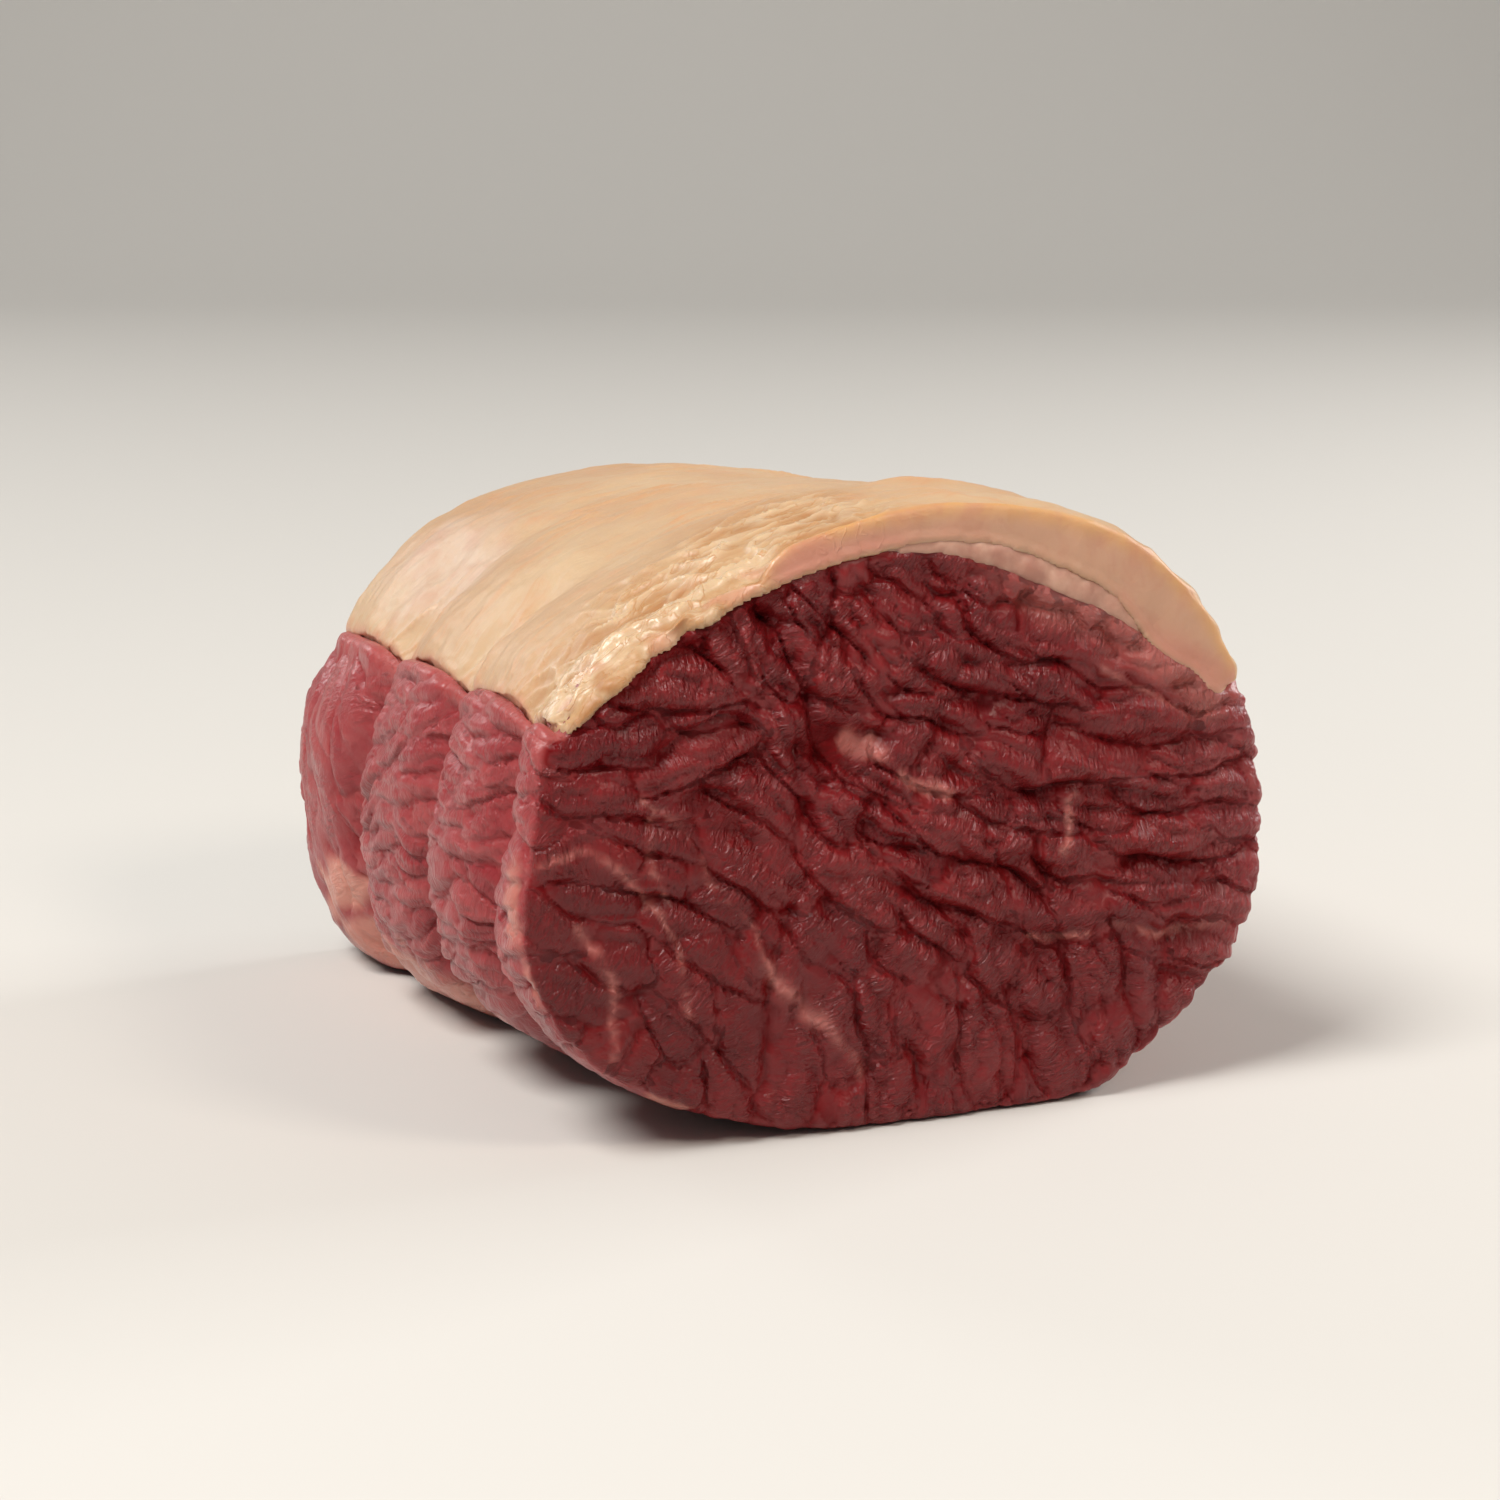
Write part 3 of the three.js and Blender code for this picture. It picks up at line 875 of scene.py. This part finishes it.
# %% Shape the inner fat
HIDDEN_SWELL = 0.9     # mm
points, facing = read_points(inner)
face = ease(0.5, 0.85, np.abs(facing[:, 1]))
lumps = 0.5 + 0.5 * noise(points, 5, 91) + 0.25 * noise(points, 2, 95)
rise = HIDDEN_SWELL * (1 - face) + face * lumps
write_points(inner, points + facing * rise[:, None])
thin_out(inner, 60000)

# %% [markdown]
# ## Building finishes
#
# Colours are written as sRGB hex values, as a colour picker shows them, and one function
# turns them to the linear light that the shaders work in. One more function adds a node
# with its settings and links, so that a finish reads as a short list of what it is made of.

# %% Colours and nodes
MIXED = 2     # a mix node's colour is the third of its outputs


def linear(code):
    """An sRGB hex colour as linear red, green, blue and alpha."""
    shares = [int(code[i:i + 2], 16) / 255 for i in (1, 3, 5)]
    return [s / 12.92 if s <= 0.04045 else ((s + 0.055) / 1.055) ** 2.4 for s in shares] + [1]


def add(tree, kind, inputs, stops=(), **settings):
    """Adds a node and gives its outputs. Inputs are values or other nodes' outputs, by the
    sockets' names; stops are a colour ramp's places and hex colours."""
    node = tree.nodes.new("ShaderNode" + kind)
    for name, value in settings.items():
        setattr(node, name, value)
    for i, (place, code) in enumerate(stops):
        node.color_ramp.elements[i].position = place
        node.color_ramp.elements[i].color = linear(code)
    for name, value in inputs.items():
        socket = next(s for s in node.inputs if name in (s.identifier, s.name) and s.enabled)
        if isinstance(value, bpy.types.NodeSocket):
            tree.links.new(value, socket)
        else:
            socket.default_value = value
    return node.outputs


def new_finish(name):
    """An empty material and its node tree."""
    finish = bpy.data.materials.new(name)
    finish.use_nodes = True
    finish.node_tree.nodes.clear()
    return finish, finish.node_tree


print("deep meat red is", [round(c, 3) for c in linear("#64282a")])

# %% [markdown]
# ## Raw lean: its relief
#
# Fresh-cut beef is made of bundles of wet fibre, cut across with a knife. The eye reads it
# as meat by its finest marks: wrinkles across each lobe, little cracks between them and a
# grain of single fibres. They are about 1 mm deep or less, so a bump map is enough. They
# are drawn in the lobe's own lengthways and crossways places, so they turn with it.

# %% Relief of the lean
def lean_relief(tree, spot, fibre, wrinkled):
    """How far a place is from a crack, and the direction of the bumped surface."""
    # Fine wrinkles lie across each lobe: 1.3 mm apart along it and 5.5 mm long across it.
    stretched = add(tree, "VectorMath", {
        "Vector": fibre, "Vector_001": (1 / 1.3, 1 / 5.5, 1.0),
    }, operation="MULTIPLY")["Vector"]
    wrinkles = add(tree, "TexNoise", {
        "Vector": stretched, "Scale": 1.0, "Detail": 3.0, "Distortion": 1.2,
    })["Fac"]
    # Between the wrinkles run little cracks, in cells 1.8 mm by 3.4 mm, bent every 2.5 mm.
    tiled = add(tree, "VectorMath", {
        "Vector": fibre, "Vector_001": (1 / 1.8, 1 / 3.4, 1.0),
    }, operation="MULTIPLY")["Vector"]
    bend = add(tree, "TexNoise", {"Vector": spot, "Scale": 1000 / 2.5, "Detail": 2.0})["Color"]
    bent = add(tree, "VectorMath", {
        "Vector": bend, "Vector_001": (0.9, 0.9, 0.0), "Vector_002": tiled,
    }, operation="MULTIPLY_ADD")["Vector"]
    cells = add(tree, "TexVoronoi", {
        "Vector": bent, "Scale": 1.0,
    }, feature="DISTANCE_TO_EDGE")["Distance"]
    cracks = add(tree, "MapRange", {
        "Value": cells, "From Min": 0.0, "From Max": 0.35, "To Min": 0.0, "To Max": 0.35,
    }, interpolation_type="SMOOTHSTEP")["Result"]
    both = add(tree, "Math", {"Value": wrinkles, "Value_001": cracks}, operation="ADD")[0]
    ripples = add(tree, "Math", {"Value": both, "Value_001": wrinkled}, operation="MULTIPLY")[0]
    rippled = add(tree, "Bump", {"Height": ripples, "Strength": 0.9, "Distance": 0.0012})["Normal"]
    # Single fibres are too fine to show, so their grain is drawn as coarse as it needs, 0.9 mm.
    grain = add(tree, "TexNoise", {"Vector": spot, "Scale": 1000 / 0.9, "Detail": 3.0})["Fac"]
    grained = add(tree, "Bump", {
        "Height": grain, "Strength": 0.5, "Distance": 0.0003, "Normal": rippled,
    })["Normal"]
    return cracks, grained


# %% [markdown]
# ## Raw lean: its colour
#
# Fresh-cut beef is dark cherry red. Its colour varies from bundle to bundle, is deepest on the smooth
# muscle, and paler on the uncut skin of the sides, where a thin clear membrane lies over it. Shade is
# painted into the creases and cracks, and the right rim of the cut face is painted paler, as painted
# light. Seams of connective tissue are silvery pink. The painted shade multiplies the red by a red,
# which keeps it warm; mixing in black would turn it grey.

# %% Colour of the lean
def lean_colour(tree, spot, where, mark, cracks, wrinkled):
    """The lean's colour, from its zones, its marks and its cracks, with painted shade in the creases and
    cracks.
    """
    # Patches are 14 mm across and mottling 3 mm, out of 1000 mm to the metre.
    patches = add(tree, "TexNoise", {"Vector": spot, "Scale": 1000 / 14, "Detail": 3.0})["Fac"]
    mottle = add(tree, "TexNoise", {"Vector": spot, "Scale": 1000 / 3, "Detail": 4.0})["Fac"]
    both = add(tree, "Math", {"Value": patches, "Value_001": mottle}, operation="ADD")[0]
    varied = add(tree, "Math", {
        "Value": where["Y"], "Value_001": 0.5, "Value_002": both,
    }, operation="MULTIPLY_ADD")[0]
    tone = add(tree, "MapRange", {"Value": varied, "From Min": 0.9, "From Max": 2.3})["Result"]
    cut = add(tree, "ValToRGB", {"Fac": tone}, ((0, "#700f15"), (1, "#932829")))["Color"]
    skin = add(tree, "ValToRGB", {"Fac": tone}, ((0, "#943338"), (1, "#b45f5d")))["Color"]
    # The skin share holds the sides' uncut skin and the painted light on the cut face's right rim.
    red = add(tree, "Mix", {"Factor": where["X"], "A": cut, "B": skin}, data_type="RGBA")[MIXED]
    # Painted shade: creases and cracks are darkened by multiplying the red by a deep red.
    crease_shade = add(tree, "Math", {"Value": mark["X"], "Value_001": 0.75}, operation="MULTIPLY")[0]
    near_crack = add(tree, "Math", {
        "Value": cracks, "Value_001": -1.1, "Value_002": 0.3,
    }, operation="MULTIPLY_ADD")[0]
    crack_shade = add(tree, "Math", {
        "Value": near_crack, "Value_001": wrinkled,
    }, operation="MULTIPLY", use_clamp=True)[0]
    glassy = (where["Z"], (0.8, 0.45, 0.5, 1.0))
    for share, tint in (
        glassy, (crease_shade, (0.62, 0.22, 0.25, 1.0)), (crack_shade, (0.3, 0.1, 0.1, 1.0)),
    ):
        red = add(tree, "Mix", {
            "Factor": share, "A": red, "B": tint,
        }, data_type="RGBA", blend_type="MULTIPLY")[MIXED]
    for share, colour in ((mark["Y"], linear("#ca7d74")), (mark["Z"], linear("#cf9080"))):
        red = add(tree, "Mix", {"Factor": share, "A": red, "B": colour}, data_type="RGBA")[MIXED]
    return red


# %% [markdown]
# ## Raw lean: its surface
#
# The meat is wet, so it has a soft film of gloss, and light goes up to 3 mm into it and
# comes back redder. It refracts a little more than water does, 1.38. No light shines off
# the bottom of a crease, so the gloss is turned down there.

# %% Finish of the lean
def lean_finish():
    """Wet muscle, cut with a knife: deep red, broken up by fibres and small highlights."""
    finish, tree = new_finish("raw_beef_lean")
    place, marks, fibre = (
        add(tree, "Attribute", {}, attribute_name=name)["Vector"] for name in ("place", "marks", "fibre")
    )
    wrinkled = add(tree, "Attribute", {}, attribute_name="wrinkled")["Fac"]
    where = add(tree, "SeparateXYZ", {"Vector": place})
    mark = add(tree, "SeparateXYZ", {"Vector": marks})
    spot = add(tree, "TexCoord", {})["Object"]
    cracks, normal = lean_relief(tree, spot, fibre, wrinkled)
    colour = lean_colour(tree, spot, where, mark, cracks, wrinkled)
    # Wetter and drier places are 9 mm across.
    wet = add(tree, "TexNoise", {"Vector": spot, "Scale": 1000 / 9, "Detail": 3.0})["Fac"]
    rough = add(tree, "MapRange", {
        "Value": wet, "From Min": 0.3, "From Max": 0.7, "To Min": 0.3, "To Max": 0.46,
    })["Result"]
    film = add(tree, "Math", {
        "Value": where["X"], "Value_001": 0.12, "Value_002": 0.06,
    }, operation="MULTIPLY_ADD")[0]
    shine = add(tree, "MapRange", {
        "Value": mark["X"], "From Min": 0.1, "From Max": 0.6, "To Min": 0.6, "To Max": 0.1,
    })["Result"]
    surface = add(tree, "BsdfPrincipled", {
        "Base Color": colour, "Roughness": rough, "IOR": 1.38, "Normal": normal,
        "Subsurface Weight": 0.35, "Subsurface Radius": (1.0, 0.25, 0.2),
        "Subsurface Scale": 0.003, "Specular IOR Level": shine,
        "Coat Weight": film, "Coat Roughness": 0.15, "Coat IOR": 1.34,
    })["BSDF"]
    add(tree, "OutputMaterial", {"Surface": surface})
    return finish


lean.data.materials.append(lean_finish())
print("lean is finished as", lean.data.materials[0].name)

# %% [markdown]
# ## Beef fat: its outer skin
#
# The cover is hard cream fat, as it lay under the hide. Its skin is cream with peach
# stains and thin threads of tissue drawn out across the joint. Threads and folds are
# darker than the fat between them. The mottled patch at the rear left is painted over it.

# %% Skin of the fat
def fat_skin(tree, spot, bent, folds, mottled):
    """The outer skin's colour, and the threads that run over it."""
    # Cream and lighter cream change every 30 mm.
    patches = add(tree, "TexNoise", {"Vector": spot, "Scale": 1000 / 30, "Detail": 4.0})["Fac"]
    cream = add(tree, "ValToRGB", {"Fac": patches}, ((0.3, "#be9774"), (0.7, "#caac89")))
    # Threads run across the joint: 24 mm long and 2.5 mm apart. Stains are 15 mm across.
    drawn_out = add(tree, "VectorMath", {
        "Vector": bent, "Vector_001": (1000 / 24, 1000 / 2.5, 1000 / 24),
    }, operation="MULTIPLY")["Vector"]
    threads = add(tree, "TexNoise", {"Vector": drawn_out, "Scale": 1.0, "Detail": 4.0})["Fac"]
    on_thread = add(tree, "MapRange", {
        "Value": threads, "From Min": 0.55, "From Max": 0.66, "To Min": 0.0, "To Max": 0.45,
    })["Result"]
    blotches = add(tree, "TexNoise", {
        "Vector": bent, "Scale": 1000 / 15, "Detail": 5.0, "Roughness": 0.65,
    })["Fac"]
    stains = add(tree, "MapRange", {
        "Value": blotches, "From Min": 0.55, "From Max": 0.72, "To Min": 0.0, "To Max": 0.45,
    })["Result"]
    lined = add(tree, "Math", {
        "Value": folds, "Value_001": 0.4, "Value_002": on_thread,
    }, operation="MULTIPLY_ADD")[0]
    # The mottled patch is whitish with pink blots 7 mm across.
    spots = add(tree, "TexNoise", {"Vector": spot, "Scale": 1000 / 7, "Detail": 3.0})["Fac"]
    blots = add(tree, "MapRange", {
        "Value": spots, "From Min": 0.45, "From Max": 0.65, "To Min": 0.0, "To Max": 0.5,
    })["Result"]
    whitish = add(tree, "Mix", {
        "Factor": blots, "A": linear("#cdb29c"), "B": linear("#c2917c"),
    }, data_type="RGBA")[MIXED]
    skin = cream["Color"]
    for share, colour in (
        (stains, linear("#cf9470")), (lined, linear("#c9976f")), (mottled, whitish),
    ):
        skin = add(tree, "Mix", {"Factor": share, "A": skin, "B": colour}, data_type="RGBA")[MIXED]
    return skin, threads


# %% [markdown]
# ## Beef fat: the loose film
#
# The film at the front left is crumpled membrane, wetter and more golden than the rest.
# It has whitish ridges, and between them golden lines where it lies double. A line is
# drawn where a noise crosses its middle value.

# %% Film on the fat
def fat_film(tree, bent, crinkle):
    """The film's colour, and its golden lines."""
    # Crumples are 14 mm long and 5 mm apart.
    along_edge = add(tree, "VectorMath", {
        "Vector": bent, "Vector_001": (1000 / 14, 1000 / 5, 1000 / 14),
    }, operation="MULTIPLY")["Vector"]
    crumple = add(tree, "TexNoise", {
        "Vector": along_edge, "Scale": 1.0, "Detail": 3.0, "Distortion": 1.0,
    })["Fac"]
    thick = add(tree, "MapRange", {
        "Value": crumple, "From Min": 0.35, "From Max": 0.65, "To Min": 0.0, "To Max": 1.0,
    })["Result"]
    ridge = add(tree, "MapRange", {
        "Value": crinkle, "From Min": 0.05, "From Max": 0.6, "To Min": 0.0, "To Max": 0.7,
    })["Result"]
    offset = add(tree, "Math", {"Value": crumple, "Value_001": 0.5}, operation="SUBTRACT")[0]
    off_middle = add(tree, "Math", {"Value": offset}, operation="ABSOLUTE")[0]
    golden = add(tree, "MapRange", {
        "Value": off_middle, "From Min": 0.0, "From Max": 0.02, "To Min": 0.55, "To Max": 0.0,
    })["Result"]
    film = linear("#ae7a4c")
    for share, code in ((thick, "#c29b72"), (ridge, "#dac09f"), (golden, "#b97d42")):
        film = add(tree, "Mix", {
            "Factor": share, "A": film, "B": linear(code),
        }, data_type="RGBA")[MIXED]
    return film, golden


# %% [markdown]
# ## Beef fat: the cut
#
# The knife shows the fat's inside. It is yellow in its outer few millimetres, cream
# further in and pink near the meat, with faint pink veins.

# %% Cut fat
def fat_cut(tree, spot, layer):
    """The colour of the cut faces of the cover."""
    # Veins wander in patches 9 mm across.
    paths = add(tree, "TexNoise", {
        "Vector": spot, "Scale": 1000 / 9, "Detail": 3.0, "Roughness": 0.6, "Distortion": 0.6,
    })["Fac"]
    veins = add(tree, "MapRange", {
        "Value": paths, "From Min": 0.48, "From Max": 0.68, "To Min": 0.0, "To Max": 0.45,
    })["Result"]
    cut = linear("#cf9c62")
    for share, code in ((layer["X"], "#c79a7f"), (layer["Y"], "#c88a76"), (veins, "#bd8069")):
        cut = add(tree, "Mix", {
            "Factor": share, "A": cut, "B": linear(code),
        }, data_type="RGBA")[MIXED]
    return cut


# %% [markdown]
# ## Beef fat: its surface
#
# Skin, film and cut are put together by the painted marks. Fat refracts like oil, 1.44,
# and light goes up to 4 mm into it, which softens its edges. It is less glossy than the
# lean; only the film's ridges are wet.

# %% Finish of the fat cover
def fat_finish():
    """Hard fat under its skin: pale, warm and soft-edged, glossy only where film lies."""
    finish, tree = new_finish("hard_beef_fat")
    marks = add(tree, "Attribute", {}, attribute_name="marks")["Vector"]
    layers = add(tree, "Attribute", {}, attribute_name="layers")["Vector"]
    crinkle = add(tree, "Attribute", {}, attribute_name="crinkle")["Fac"]
    thin = add(tree, "Attribute", {}, attribute_name="thin_edge")["Fac"]
    mark = add(tree, "SeparateXYZ", {"Vector": marks})
    layer = add(tree, "SeparateXYZ", {"Vector": layers})
    spot = add(tree, "TexCoord", {})["Object"]
    # Everything drawn out is bent by up to 12 mm, every 20 mm, so that no two lines match.
    bend = add(tree, "TexNoise", {"Vector": spot, "Scale": 1000 / 20, "Detail": 2.0})["Color"]
    bent = add(tree, "VectorMath", {
        "Vector": bend, "Vector_001": (0.012, 0.012, 0.012), "Vector_002": spot,
    }, operation="MULTIPLY_ADD")["Vector"]

    skin, threads = fat_skin(tree, spot, bent, mark["Z"], layer["Z"])
    film, golden = fat_film(tree, bent, crinkle)
    cut = fat_cut(tree, spot, layer)
    colour = skin
    for share, over in ((mark["Y"], film), (thin, linear("#cf917b")), (mark["X"], cut)):
        colour = add(tree, "Mix", {
            "Factor": share, "A": colour, "B": over,
        }, data_type="RGBA")[MIXED]

    lines = add(tree, "Math", {"Value": golden, "Value_001": mark["Y"]}, operation="MULTIPLY")[0]
    filmed = add(tree, "Bump", {"Height": lines, "Strength": 0.4, "Distance": 0.0004})["Normal"]
    threaded = add(tree, "Bump", {
        "Height": threads, "Strength": 0.35, "Distance": 0.0012, "Normal": filmed,
    })["Normal"]
    # Fat has a grain 1.6 mm across.
    grain = add(tree, "TexNoise", {"Vector": spot, "Scale": 1000 / 1.6, "Detail": 4.0})["Fac"]
    grained = add(tree, "Bump", {
        "Height": grain, "Strength": 0.3, "Distance": 0.0004, "Normal": threaded,
    })["Normal"]
    rough = add(tree, "MapRange", {
        "Value": crinkle, "From Min": 0.0, "From Max": 0.8, "To Min": 0.48, "To Max": 0.25,
    })["Result"]
    surface = add(tree, "BsdfPrincipled", {
        "Base Color": colour, "Roughness": rough, "IOR": 1.44, "Normal": grained,
        "Subsurface Weight": 0.25, "Subsurface Radius": (1.0, 0.6, 0.35),
        "Subsurface Scale": 0.004, "Coat Weight": 0.1, "Coat Roughness": 0.3,
    })["BSDF"]
    add(tree, "OutputMaterial", {"Surface": surface})
    return finish


fat.data.materials.append(fat_finish())
print("the cover is finished as", fat.data.materials[0].name)

# %% [markdown]
# ## Inner fat
#
# The fat between the muscles is softer than the cover, pinker and evenly mottled. It was
# cut with the same knife, so it has a plain, half-matt face, and a mottling is all that
# it needs.

# %% Finish of the inner fat
def inner_finish():
    """Soft fat, cut with a knife: pinker and duller than the cover, so the two read apart."""
    finish, tree = new_finish("soft_inner_fat")
    spot = add(tree, "TexCoord", {})["Object"]
    # The mottling is 5 mm across.
    patches = add(tree, "TexNoise", {"Vector": spot, "Scale": 1000 / 5, "Detail": 4.0})["Fac"]
    pink = add(tree, "ValToRGB", {"Fac": patches}, ((0.35, "#b07d6c"), (0.65, "#cda18c")))
    surface = add(tree, "BsdfPrincipled", {
        "Base Color": pink["Color"], "Roughness": 0.45, "IOR": 1.44,
        "Subsurface Weight": 0.25, "Subsurface Radius": (1.0, 0.5, 0.35),
        "Subsurface Scale": 0.003,
    })["BSDF"]
    add(tree, "OutputMaterial", {"Surface": surface})
    return finish


inner.data.materials.append(inner_finish())
print("inner fat is finished as", inner.data.materials[0].name)

# %% [markdown]
# ## Hand the pieces to the joint
#
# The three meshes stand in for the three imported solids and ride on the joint's one body.
# Smooth shading hides their small triangles.

# %% Put the pieces on the joint
HANDED_OVER = ((lean, "lean", "lean"), (fat, "fat_cap", "fat"), (inner, "inner_fat", "inner_fat"))
for piece, node, slot in HANDED_OVER:
    piece.data.shade_smooth()
    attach(piece, "root")
    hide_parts(node)
    print(piece.name, "stands in for", node)

# %% [markdown]
# ## The floor
#
# A pale matt sheet lies under the joint and curves up behind it, as in a small photo
# studio, so that no horizon line crosses the picture. Matt paper has no highlight of its
# own to draw the eye. The sheet is lined up with the camera.

# %% Floor
FLOOR_AHEAD = 3.0        # metres of floor in front of the joint
SWEEP_BEHIND = 1.6       # metres from the joint to where the floor starts to curve up
SWEEP_RADIUS = 0.9       # metres
SWEEP_TOP = 3.5          # metres up
FLOOR_EDGE = 4           # metres to each side
profile = [(-FLOOR_AHEAD, 0.0), (SWEEP_BEHIND, 0.0)]
for turn in np.radians(np.arange(6, 91, 6)):
    run = SWEEP_BEHIND + SWEEP_RADIUS * math.sin(turn)
    profile.append((run, SWEEP_RADIUS * (1 - math.cos(turn))))
profile.append((SWEEP_BEHIND + SWEEP_RADIUS, SWEEP_TOP))
ahead = Vector((math.sin(CAMERA_HEADING), math.cos(CAMERA_HEADING), 0))
sideways = Vector((ahead.y, -ahead.x, 0))
corners = []
for edge in (-FLOOR_EDGE, FLOOR_EDGE):
    corners += [ahead * run + Vector((0, 0, up)) + sideways * edge for run, up in profile]
steps = len(profile)
strips = [(i, i + 1, i + 1 + steps, i + steps) for i in range(steps - 1)]
floor_mesh = bpy.data.meshes.new("floor")
floor_mesh.from_pydata(corners, [], strips)
floor_mesh.shade_smooth()
floor = bpy.data.objects.new("floor", floor_mesh)
bpy.context.collection.objects.link(floor)
paper, tree = new_finish("pale_matt_floor")
matt = add(tree, "BsdfPrincipled", {"Base Color": linear("#d2cfca"), "Roughness": 0.8})["BSDF"]
add(tree, "OutputMaterial", {"Surface": matt})
floor_mesh.materials.append(paper)
print("the floor has", len(strips), "strips")

# %% [markdown]
# ## The light
#
# One big soft light high on the left does most of the work, as a window would. It grazes
# the cut face, which shows its relief, and makes the fat the brightest part. A weak warm
# light at the front right puts a sheen on the lobes, one behind on the left draws the
# cover's outline, and one on the right keeps that side from going black. A dim even
# world fills the shadows. The standard view transform keeps the reds as they are mixed.

# %% Lights
def soft_light(name, place, aim, size, watts, colour):
    """A square area light at place, in metres, turned to aim."""
    lamp = bpy.data.lights.new(name, "AREA")
    lamp.shape = "SQUARE"
    lamp.size = size
    lamp.energy = watts
    lamp.color = linear(colour)[:3]
    light = bpy.data.objects.new(name, lamp)
    bpy.context.collection.objects.link(light)
    light.location = place
    light.rotation_euler = (Vector(aim) - Vector(place)).to_track_quat("-Z", "Y").to_euler()
    print(name, "gives", watts, "W")


soft_light("window", (-1.25, -0.5, 1.9), (0, 0, 0.05), 0.95, 56, "#fffdf9")
soft_light("sheen", (0.75, -1.3, 1.35), (0, 0, 0.06), 0.45, 10, "#fff0e0")
soft_light("kicker", (-0.75, 1.5, 0.8), (0, 0, 0.05), 0.5, 4, "#ffffff")
soft_light("rim", (1.5, 0.15, 0.7), (0, 0, 0.05), 0.6, 14, "#ffffff")
WORLD_STRENGTH = 0.2
world = bpy.data.worlds.new("studio")
world.use_nodes = True
background = world.node_tree.nodes["Background"].inputs
background["Color"].default_value = linear("#eeeeee")
background["Strength"].default_value = WORLD_STRENGTH
bpy.context.scene.world = world
bpy.context.scene.view_settings.view_transform = "Standard"
